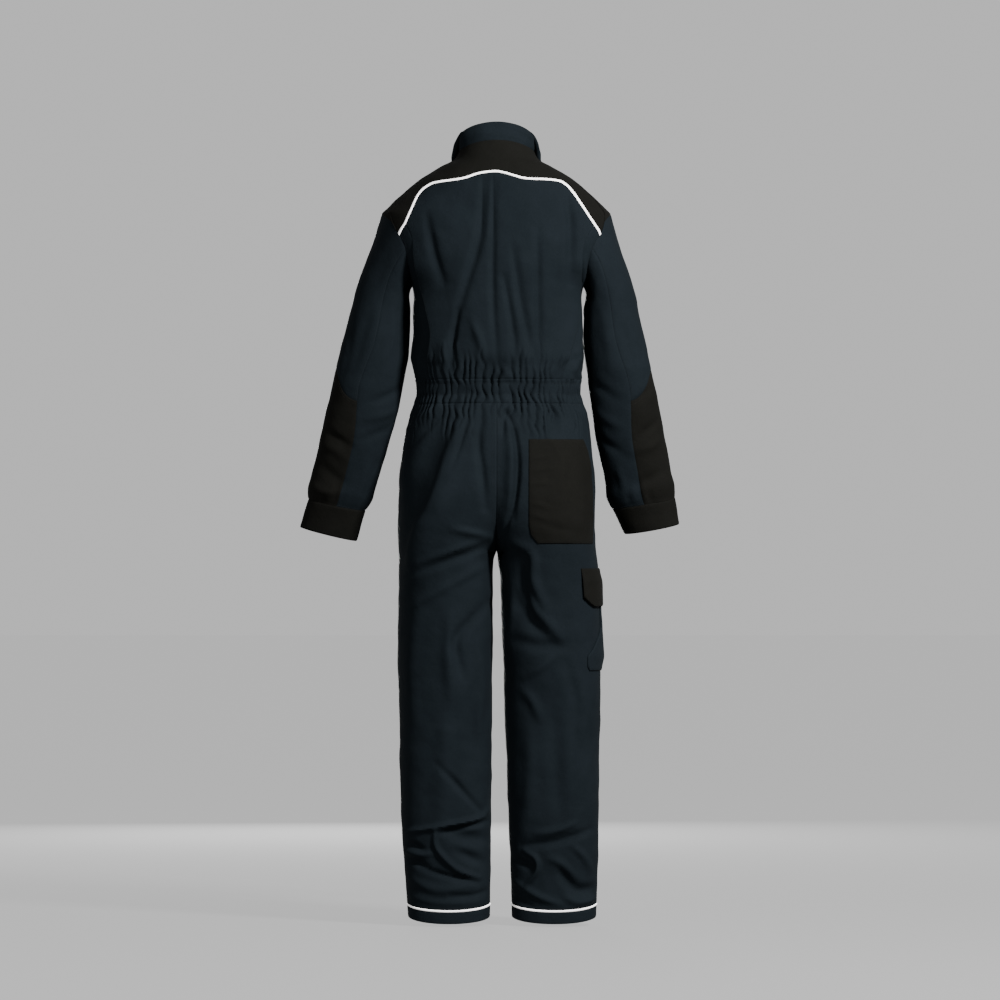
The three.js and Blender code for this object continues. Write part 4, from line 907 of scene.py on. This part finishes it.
def build_sides():
    """The side backs, which lie under the folds, and the fronts."""
    for side in SIGN:
        end = WAIST_TOP_Z + HALF_SEAM
        out_angle, out_z = outer_edge(side, 1, end)
        (first_angle,), (first_z,) = yoke_line_place(PLEAT_SHARE[side], EDGE + SEAM)
        t = np.arange(len(out_z)) / (len(out_z) - 1)
        z = mix(first_z, end, (out_z - out_z[0]) / (end - out_z[0]))
        turn = SIGN[side] * (PLEAT_LAP * pleat_lap(z) - SEAM) / at(TORSO, side, z)
        start = first_angle - pleat_angle(side, first_z)
        in_angle = pleat_angle(side, z) + start * (1 - smooth(0, 0.15, t)) + turn
        u = close_steps(14, 60)
        fold = pleat_depth(z)[:, None]
        under = 1 - smooth(0, 0.22, u)
        sink = PLEAT_SINK * (1 - under) * np.maximum(0, 1 - u * 1.9) * fold
        sink = sink - under * (0.58 * PLEAT_RAISE * fold - 2.1 * pleat_lap(z)[:, None])
        angle = mix(in_angle[:, None], out_angle[:, None], u)
        z = mix(z[:, None], out_z[:, None], u)
        cloth(f"side_back_{side}", "navy", torso_point(angle, z, -sink))

        head_angle, head_z = front_line(side, -(EDGE + SEAM), PANEL_STEP)
        end = WAIST_Z + HALF_SEAM
        out_angle, out_z = outer_edge(side, -1, end)
        t = ((out_z - out_z[0]) / (end - out_z[0]))[:, None]
        z = mix(head_z, end, t)
        z[:, -1] = out_z
        u = close_steps(FRONT_STEPS, 230)
        zip_angle = torso_angle(side, ZIP_EDGE, z)
        share_angle = mix(zip_angle, abs(out_angle)[:, None], u)
        angle = -mix(abs(head_angle), share_angle, smooth(0, 0.2, t))
        angle[:, 0] = -zip_angle[:, 0]
        angle[:, -1] = out_angle
        cloth(f"front_{side}", "navy", torso_point(angle, z))


def build_waistband():
    z = mix(WAIST_TOP_Z - HALF_SEAM, WAIST_Z + HALF_SEAM, close_steps(20, 48))[:, None]
    u = close_steps(360, 480)
    angle = mix(side_angle("left", 1, z), side_angle("right", 1, z), u)
    cloth("waistband_back", "navy", torso_point(angle, z), held="gathered", fuller=1.25)


def pleat_depth(z):
    return smooth(-160, -225, z) * smooth(-425, -392, z)


def pleat_lap(z):
    return smooth(-138, -170, z) * smooth(-440, -415, z)


def pleat_angle(side, z):
    return torso_angle(side, at(PLEAT[side], "x", z), z)


def side_angle(side, face, z):
    depth = at(TORSO, "back" if face > 0 else "front", z)
    return face * from_side(side, HALF_SEAM / depth / (1 + SQUARENESS))


def piping(node, top_line, low_line):
    """A rounded strip between two lines on the body."""
    angle, z = between(top_line, low_line, PIPING_STEPS[:, 0])
    cloth(node, "white", torso_point(angle, z, PIPING_LIFTS), roll=0.2)


# Legs


def seam_angle(side, face, z):
    depth = at(LEG[side], "back" if face > 0 else "front", z)
    return HALF_SEAM / depth / (1 + SQUARENESS)


def leg_end(side, face, z):
    closed = pi - seam_angle(side, face, z)
    zipped = (face < 0) & (z > ZIP_END_Z - 1)
    cut = np.where(zipped, ZIP_EDGE, HALF_SEAM)
    return np.where(z > CROTCH_Z, np.minimum(leg_angle(side, cut, z), closed), closed)


def leg_axis(side, grid):
    middle = leg_sizes(side, grid[..., 2])[1] * SIGN[side]
    return np.stack([middle, 0 * middle, grid[..., 2]], -1)


def hem_cloth(node, side, finish, height, lift, **more):
    """A ring of cloth round a leg."""
    grid = leg_point(side, pi * (1 - 2 * (np.arange(96) + 0.5) / 96), height, lift)
    cloth(f"{node}_{side}", finish, grid, leg_axis(side, grid), ring=True, **more)


def build_legs():
    z = join([
        [WAIST_Z - HALF_SEAM], np.arange(WAIST_Z, -560, -3.0)[1:], np.arange(-560, CROTCH_Z, -4.5),
        np.arange(CROTCH_Z, -1290, -5.5), np.arange(-1290, HEM_PIPING_Z + 4, -3.6),
        [HEM_PIPING_Z + SEAM + 1.4, HEM_PIPING_Z + SEAM]])[:, None]
    low = HEM_PIPING_Z - PIPING_WIDTH
    for side in SIGN:
        for part, face, count in (("back", 1, 132), ("front", -1, 72)):
            angle = face * mix(seam_angle(side, face, z), leg_end(side, face, z),
                               close_steps(count, 330))
            grid = leg_point(side, angle, z)
            cloth(f"leg_{part}_{side}", "navy", grid, leg_axis(side, grid))
        hem_cloth("hem_piping", side, "white", mix(HEM_PIPING_Z, low, PIPING_STEPS), PIPING_LIFTS,
                  roll=0.2)
        band = mix(low - SEAM, HEM_Z, close_steps(6, 22))[:, None]
        hem_cloth("hem_band", side, "navy", band, 0.3, thick=DOUBLE)


# Pockets


def pocket(node, finish, rows, edges, lift, steps, step_z):
    z = np.arange(rows["z"][0], rows["z"][-1] + step_z / 2, -step_z)
    z = join([[z[0], z[0] - 1.4], z[1:], [rows["z"][-1] + 1.2, rows["z"][-1]]])[:, None]
    u = close_steps(steps, 110)
    angle = mix(*edges(rows, z), u)
    grid = leg_point("right", angle, z, lift(u, z) + LAP)
    cloth(node, finish, grid, leg_axis("right", grid), roll=1.6, thick=CLOTH + 0.4, held="laid")


def linear(rows, key, z):
    return np.interp(-z, -rows["z"], rows[key])


def seat_edges(rows, z):
    return [leg_angle("right", linear(rows, key, z), z) for key in ("inside", "outside")]


def thigh_edges(rows, z):
    return linear(rows, "behind", z) * RAD, -linear(rows, "before", z) * RAD


def bag_relief(u, z):
    return 0.8 + 5 * sin(pi * u) * smooth(-900, -990, z) * smooth(-1021, -990, z)


def flap_relief(u, z):
    return 0.8 + 3.4 * smooth(-818, -846, z)


def build_pockets():
    pocket("back_pocket", "black", BACK_POCKET, seat_edges, pocket_relief, 40, 4)
    pocket("cargo_pocket", "navy", CARGO_BAG, thigh_edges, bag_relief, 30, 5)
    pocket("cargo_flap", "black", CARGO_FLAP, thigh_edges, flap_relief, 36, 3)


def pocket_relief(u, z):
    slack = np.exp(-((z + 559) / 16) ** 2) * sin(pi * u) * 2.5
    return slack + creases(POCKET_FOLDS, 64 + 120 * u, z)


# Sleeves

CAP_Z = -300
PATCH_Z = -431
PATCH_DROP = 49
SEAM_TURN = HALF_SEAM / 58


def sleeve_frame(side, z):
    rows, sign = SLEEVE[side], SIGN[side]
    z = np.asarray(z, float)
    centre = np.stack([sign * at(rows, "x", z), at(rows, "y", z), z], -1)
    tilt = at(rows, "tilt", z) * RAD
    out = np.stack([sign * cos(tilt), 0 * z, sin(tilt)], -1)
    lean = (at(rows, "y", z - 10) - at(rows, "y", z + 10)) / 20
    down = unit(np.stack([sign * sin(tilt), lean, -cos(tilt)], -1))
    back = unit(np.cross(out, down))
    back = np.where(back[..., 1:2] < 0, -back, back)
    return centre, out, back, down, at(rows, "half", z), at(rows, "depth", z)


def sleeve_base(side, angle, z):
    centre, out, back, down, half, depth = sleeve_frame(side, z)
    wander = -13 * RAD * np.exp(-(((z + 452) / 70) ** 2))
    turned = angle + wander * sin(angle) ** 2 * np.sign(sin(angle))
    return (centre + out * (half * cos(turned))[..., None]
            + back * (depth * sin(turned))[..., None])


def armhole_rim(side):
    steps = join([np.arange(0, 181, 4.0), np.arange(184, 360, 4.0)])
    angle, z = np.hstack([armhole_place(side, 1, steps[steps <= 180]),
                          armhole_place(side, -1, 360 - steps[steps > 180])])
    points = torso_point(angle, z)
    middle = points.mean(0)
    run = unit(np.roll(points, -1, 0) - np.roll(points, 1, 0))
    normal = torso_normal(angle, z)
    beside = unit(np.cross(normal, run))
    inward = np.sum(beside * (middle - points), -1, keepdims=True)
    beside = np.where(inward < 0, -beside, beside)
    drop = 1 - abs(steps - 180) / 180
    turn = (pi / 2 * smooth(0.2, 1, drop))[:, None]
    facing = normal * sin(turn) + beside * cos(turn)
    slant = normal * cos(turn) - beside * sin(turn)
    low = 1.6 * turn / (pi / 2)
    base = points + facing * SEAM * (1 + 1.2 * sin(turn))
    return steps * RAD, base + slant * low, facing


def rim_at(rim, angle):
    angles, *rows = rim
    run = np.append(angles, 2 * pi)
    start, facing = (interp_points(np.mod(angle, 2 * pi), run, np.vstack([row, row[:1]]))
                     for row in rows)
    return start, unit(facing)


def cap_point(side, rim, angle, t):
    start, facing = rim_at(rim, angle)
    end = sleeve_base(side, angle, CAP_Z + 0 * angle)
    down = sleeve_frame(side, CAP_Z)[3]
    reach = np.linalg.norm(start - end, axis=-1, keepdims=True)
    return hermite(start, end, unit(facing + 0.9 * down) * reach, down * reach, t)


def build_sleeve(side):
    rim = armhole_rim(side)
    cuff_z = SLEEVE[side]["z"][-1]
    edge = pi / 2 - SEAM_TURN
    outside = mix(-edge, edge, close_steps(38, 190))
    below = mix(pi / 2 + SEAM_TURN, 1.5 * pi - SEAM_TURN, close_steps(38, 190))
    angles = join([outside, below])
    patch = PATCH_Z - PATCH_DROP * np.append(sin(outside) ** 2, 1 + 0 * below)
    cap = close_steps(26, 130)[:-2] ** 1.15
    upper = close_steps(30, 150)[2:]
    lower = close_steps(50, 230)
    levels = [mix(CAP_Z, patch + HALF_SEAM, t) for t in upper]
    levels += [mix(patch - HALF_SEAM, cuff_z, t) for t in lower]
    grid = np.array([cap_point(side, rim, angles, t) for t in cap]
                    + [sleeve_base(side, angles, z) for z in levels])
    centre = np.array([row.mean(0) for row in grid])[:, None, :] + 0 * grid
    normal = grid_normals(grid, centre, True)
    degrees = np.degrees(angles)
    degrees = np.where(degrees > 180, degrees - 360, degrees)[None, :] + 0 * grid[..., 0]
    height = creases(SLEEVE_FOLDS[side], degrees * DEGREE_MM, grid[..., 2], (DEGREE_MM, 1))
    height += ripple(cos(np.radians(degrees)) * 60, grid[..., 2], 1.0 if side == "left" else 2.0)
    above_cuff = grid[..., 2] - cuff_z - 0.2 * (grid[..., 0] - centre[..., 0]) * SIGN[side]
    height += 2.2 * np.exp(-((above_cuff - 24) / 14) ** 2) - 1.5 * np.exp(-(above_cuff / 5) ** 2)
    height *= smooth(0, 30, np.linalg.norm(grid - grid[:1], axis=-1))
    grid = grid + normal * height[..., None]
    split = len(cap) + len(upper)
    whole = np.delete(np.arange(len(grid)), [split - 1, split])
    top, below = np.split(np.arange(len(angles)), 2)
    for part, finish, rows, columns in (
            ("upper", "navy", slice(split), top), ("patch", "black", slice(split, None), top),
            ("under", "navy", whole, below)):
        cloth(f"sleeve_{part}_{side}", finish, grid[rows][:, columns], centre[rows][:, columns])
    build_cuff(side, cuff_z)


def build_sleeves():
    for side in SIGN:
        build_sleeve(side)


def build_cuff(side, top_z):
    size = CUFF[side]
    centre, out, back, down, half, depth = sleeve_frame(side, top_z)
    start = centre + down * SEAM
    end = np.array([SIGN[side] * size["x"], size["y"], size["z"]])
    tilt = size["tilt"] * RAD
    out_end = np.array([SIGN[side] * cos(tilt), 0, sin(tilt)])
    a = 2 * pi * np.arange(96) / 96
    rows, middles = [], []
    for t in close_steps(16, 58):
        middle = mix(start, end, t)
        o = unit(mix(out, out_end, t))
        swell = sin(pi * t)
        w = mix(size["top_half"], size["half"], t) + 0.5 * sin(3 * a + 5 * t) * swell
        d = mix(depth, size["depth"], t) + 0.8 * sin(2 * a + 4 * t) * swell
        rows.append(middle + o * (w * cos(a))[:, None] + back * (d * sin(a))[:, None])
        middles.append(middle)
    grid = np.array(rows)
    middle = np.array(middles)[:, None, :] + 0 * grid
    cloth(f"cuff_{side}", "black", grid, middle, ring=True, thick=DOUBLE)


# Sewing

STITCH = dict(pitch=3.4, length=2.3, width=0.6, height=0.3)
STITCH_FACES = [(1, 5, 6, 2), (2, 6, 7, 3), (3, 7, 4, 0), (0, 1, 2, 3), (5, 4, 7, 6)]
stitches = {"navy_thread": [], "black_thread": []}


def edge_line(node, border, distance):
    """The line on a panel at a distance from one of its borders, with the normals there."""
    grid, normal = panels[node]["grid"], panels[node]["normal"]
    if border in ("left", "right"):
        grid, normal = grid.transpose(1, 0, 2), normal.transpose(1, 0, 2)
    if border in ("bottom", "right"):
        grid, normal = grid[::-1], normal[::-1]
    run = runs(grid)
    column = np.arange(grid.shape[1])
    low = np.clip((run < distance).sum(0) - 1, 0, len(run) - 2)
    span = np.maximum(run[low + 1, column] - run[low, column], 1e-6)
    t = np.clip((distance - run[low, column]) / span, 0, 1)[:, None]
    return (mix(grid[low, column], grid[low + 1, column], t),
            unit(mix(normal[low, column], normal[low + 1, column], t)))


def sew(node, border, distance, start=0.0, end=1.0):
    thread = panels[node]["finish"] + "_thread"
    line, facing = edge_line(node, border, distance)
    if panels[node]["ring"]:
        line, facing = np.vstack([line, line[:1]]), np.vstack([facing, facing[:1]])
    run = runs(line)
    start, end = start * run[-1] + 2, end * run[-1] - 2
    place = np.arange(start, end, STITCH["pitch"])
    stitches[thread].append([interp_points(q, run, part) for q in (place, place + STITCH["length"])
                             for part in (line, facing)])


def build_stitches(thread):
    a, a_facing, b, b_facing = (join(part) for part in zip(*stitches[thread]))
    corners = []
    for p, n in ((a, a_facing), (b, b_facing)):
        wide = unit(np.cross(n, unit(b - a))) * STITCH["width"] / 2
        low, high = p - 0.2 * n, p + STITCH["height"] * n
        corners += [low - wide, low + wide, high + 0.6 * wide, high - 0.6 * wide]
    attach(add_blocks("sewing_" + thread, corners, STITCH_FACES, thread), "suit")


# Rows of sewing: the panel (* for each side), its borders, how far from them and the share sewn
SEWING = """
leg_back_* right 3 0 0.32
leg_back_* right 9 0 0.3
leg_back_* left,bottom 3
leg_back_* top 4
leg_front_* right 6 0 0.3
leg_front_* left,bottom 3
leg_front_* top 4
hem_band_* bottom 5
front_* left 7
front_* top 3
front_* bottom 4
sleeve_upper_* right 2.5
sleeve_under_* bottom 3
sleeve_patch_* top 3
sleeve_patch_* top 8
cuff_* top 3
cuff_* bottom 5
side_back_* right 4
back_panel top 3
back_panel left,right 3 0.25 0.98
yoke top,bottom 3
collar top 3
collar bottom 5
waistband_back top 9
waistband_back top 31
back_pocket left,right,bottom,top 3
back_pocket top 17
cargo_pocket left,right,bottom 3
cargo_flap left,right,bottom 4
"""


def build_sewing():
    for row in SEWING.strip().splitlines():
        node, borders, *numbers = row.split()
        for name in sorted({node.replace("*", side) for side in SIGN}):
            for border in borders.split(","):
                sew(name, border, *map(float, numbers))
    for thread in stitches:
        build_stitches(thread)


# Zip


def zip_path():
    """Heights and depths down the middle of the front, from the collar to the end of the zip."""
    line = np.vstack([panels[node]["grid"][:, column] for node, column in
                      (("collar", 0), ("yoke", 0), ("front_left", 0), ("leg_front_left", -1))])
    line = line[np.argsort(-line[:, 2])]
    z = np.arange(line[0, 2] - 1, ZIP_END_Z, -4.0)
    y = np.interp(-z, -line[:, 2], line[:, 1])
    return z, np.convolve(np.pad(y, 2, mode="edge"), np.ones(5) / 5, mode="valid")


TOOTH = {"pitch": 2.1, "out": 2.4, "in": 0.7, "half": 0.65}
TOOTH_FACES = [(0, 1, 3, 2), (4, 6, 7, 5), (2, 3, 7, 6), (0, 4, 5, 1), (0, 2, 6, 4), (1, 5, 7, 3)]


def build_zip():
    z, y = zip_path()
    grid = np.stack([np.stack([np.full(len(z), x), y + 0.9, z], -1)
                     for x in np.linspace(-ZIP_HALF, ZIP_HALF, 5)], 1)
    tape = shell("zip_tape", grid, grid + [0, 0.8, 0], False, "black")
    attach(tape, "suit")
    total = z[0] - z[-1]
    k = np.arange(int((total - 4) / TOOTH["pitch"]))
    sign = np.where(k % 2, 1, -1)
    middle = z[0] - 2 - k * TOOTH["pitch"]
    depth = np.interp(-middle, -z, y)
    ends = np.sort([sign * TOOTH["out"], sign * -TOOTH["in"]], 0)
    corners = [np.stack([x, depth + deep, middle + half], -1)
               for half in (-TOOTH["half"], TOOTH["half"])
               for deep, narrow in ((0.2, 0), (-1.1, 0.35))
               for x in (ends[0] + narrow, ends[1] - narrow)]
    teeth = add_blocks("zip_teeth", corners, TOOTH_FACES, "metal")
    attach(teeth, "suit")
    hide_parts("zip_chain")


# Finishes


def set_values(node, **values):
    """Sets a node's inputs, with _ for a space in their names, and its other settings."""
    for key, value in values.items():
        name = key.replace("_", " ")
        if name in node.inputs:
            node.inputs[name].default_value = value
        else:
            setattr(node, key, value)
    return node


def new_node(tree, kind, **values):
    return set_values(tree.nodes.new("ShaderNode" + kind), **values)


def new_material(name, **values):
    material = bpy.data.materials.new(name)
    material.use_nodes = True
    tree = material.node_tree
    return material, tree, set_values(tree.nodes["Principled BSDF"], **values)


def texture(tree, kind, space="Object", **values):
    node = new_node(tree, kind, **values)
    place = new_node(tree, "TexCoord")
    tree.links.new(place.outputs[space], node.inputs["Vector"])
    return node.outputs["Fac"]


def bump(tree, height, surface, **values):
    node = new_node(tree, "Bump", **values)
    tree.links.new(height, node.inputs["Height"])
    tree.links.new(node.outputs["Normal"], surface.inputs["Normal"])
    return node


def twill(name, colour, worn):
    """Twill cloth: fine slanted ribs, soft unevenness and slightly varied colour."""
    material, tree, surface = new_material(
        name, Roughness=0.86, Specular_IOR_Level=0.03, Sheen_Weight=0.04, Sheen_Roughness=0.45,
        Sheen_Tint=(*worn, 1))
    cloud = texture(tree, "TexNoise", Scale=9, Detail=5, Roughness=0.6)
    fibre = texture(tree, "TexNoise", Scale=620, Detail=2)
    both = new_node(tree, "Math", operation="ADD")
    halve = new_node(tree, "Math", operation="MULTIPLY")
    halve.inputs[1].default_value = 0.55
    ramp = new_node(tree, "ValToRGB")
    low, high = ramp.color_ramp.elements
    low.position, high.position = 0.35, 0.8
    low.color = (*[c * 0.86 for c in colour], 1)
    high.color = (*[mix(c, w, 0.35) for c, w in zip(colour, worn)], 1)
    for source, target in ((cloud, both.inputs[0]), (fibre, both.inputs[1]),
                           (both.outputs[0], halve.inputs[0]),
                           (halve.outputs[0], ramp.inputs["Fac"]),
                           (ramp.outputs["Color"], surface.inputs["Base Color"])):
        tree.links.new(source, target)
    crumple = texture(tree, "TexNoise", Scale=42, Detail=4, Roughness=0.55)
    soft = bump(tree, crumple, surface, Strength=0.35, Distance=0.004)
    ribs = texture(tree, "TexWave", "UV", Scale=360, Distortion=0.6,
                   bands_direction="DIAGONAL")
    bump(tree, ribs, soft, Strength=0.22, Distance=0.0004)
    return material


def plain(name, colour, roughness, metallic=0.0):
    material, tree, surface = new_material(name, Base_Color=(*colour, 1), Roughness=roughness,
                                           Metallic=metallic)
    if not metallic:
        set_values(surface, Specular_IOR_Level=0.1)
    grain = texture(tree, "TexNoise", Scale=300, Detail=2)
    bump(tree, grain, surface, Strength=0.25, Distance=0.0002)
    return material


MATERIALS = {
    "navy": twill("navy_twill", (0.0021, 0.0033, 0.0043), (0.0062, 0.0086, 0.0106)),
    "black": twill("black_twill", (0.0019, 0.0019, 0.0015), (0.0052, 0.0051, 0.0044)),
    "white": plain("white_piping", (0.74, 0.72, 0.71), 0.55),
    "metal": plain("zip_metal", (0.2, 0.2, 0.21), 0.4, 1.0),
    "navy_thread": plain("navy_thread", (0.0024, 0.0036, 0.0047), 0.9),
    "black_thread": plain("black_thread", (0.0021, 0.0021, 0.0017), 0.9),
}


# Stage

FLOOR_Z = -1.53
FLOOR_HALF = 30
WHITE = (1, 1, 1, 1)


def build_stage():
    scene = bpy.context.scene
    pale = new_material("pale_floor", Base_Color=(0.03, 0.03, 0.03, 1), Roughness=1,
                        Specular_IOR_Level=0, Emission_Color=WHITE, Emission_Strength=0.58)[0]
    corners = [(x * FLOOR_HALF, y * FLOOR_HALF, FLOOR_Z)
               for x, y in ((-1, -1), (1, -1), (1, 1), (-1, 1))]
    add_mesh("floor", corners, [(0, 1, 2, 3)], pale)
    scene.world = bpy.data.worlds.new("studio")
    scene.world.use_nodes = True
    set_values(scene.world.node_tree.nodes["Background"], Color=WHITE, Strength=0.62)
    for name, place, target, power, width, height in LIGHTS:
        data = bpy.data.lights.new(name, "AREA")
        data.shape = "RECTANGLE"
        data.energy, data.size, data.size_y = power, width, height
        lamp = bpy.data.objects.new(name, data)
        scene.collection.objects.link(lamp)
        lamp.location = place
        aim = Vector(target) - Vector(place)
        lamp.rotation_euler = aim.to_track_quat("-Z", "Y").to_euler()
    data = bpy.data.cameras.new("camera")
    data.sensor_width, data.lens, data.clip_end = 36, 252, 100
    camera = bpy.data.objects.new("camera", data)
    camera.location = (-0.007, 14, -0.68)
    camera.rotation_euler = (pi / 2, 0, pi)
    scene.collection.objects.link(camera)
    scene.camera = camera


LIGHTS = [
    ("key", (-2.6, 3.1, 1.7), (0, 0, -0.7), 1150, 0.8, 0.8),
    ("low_left", (3.0, 3.4, -0.4), (0, 0, -0.8), 90, 0.8, 1.6),
    ("front", (0.4, -4.4, -0.4), (0, 0, -0.7), 620, 1.2, 0.8),
]

for build in (build_yoke, build_collar, build_piping, build_back_panel, build_sides,
              build_waistband, build_legs, build_pockets, build_sleeves, build_sewing, build_zip):
    build()
for name in ("zip_slider", "zip_pull"):
    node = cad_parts[name]
    node.data.materials.clear()
    node.data.materials.append(MATERIALS["metal"])
build_stage()
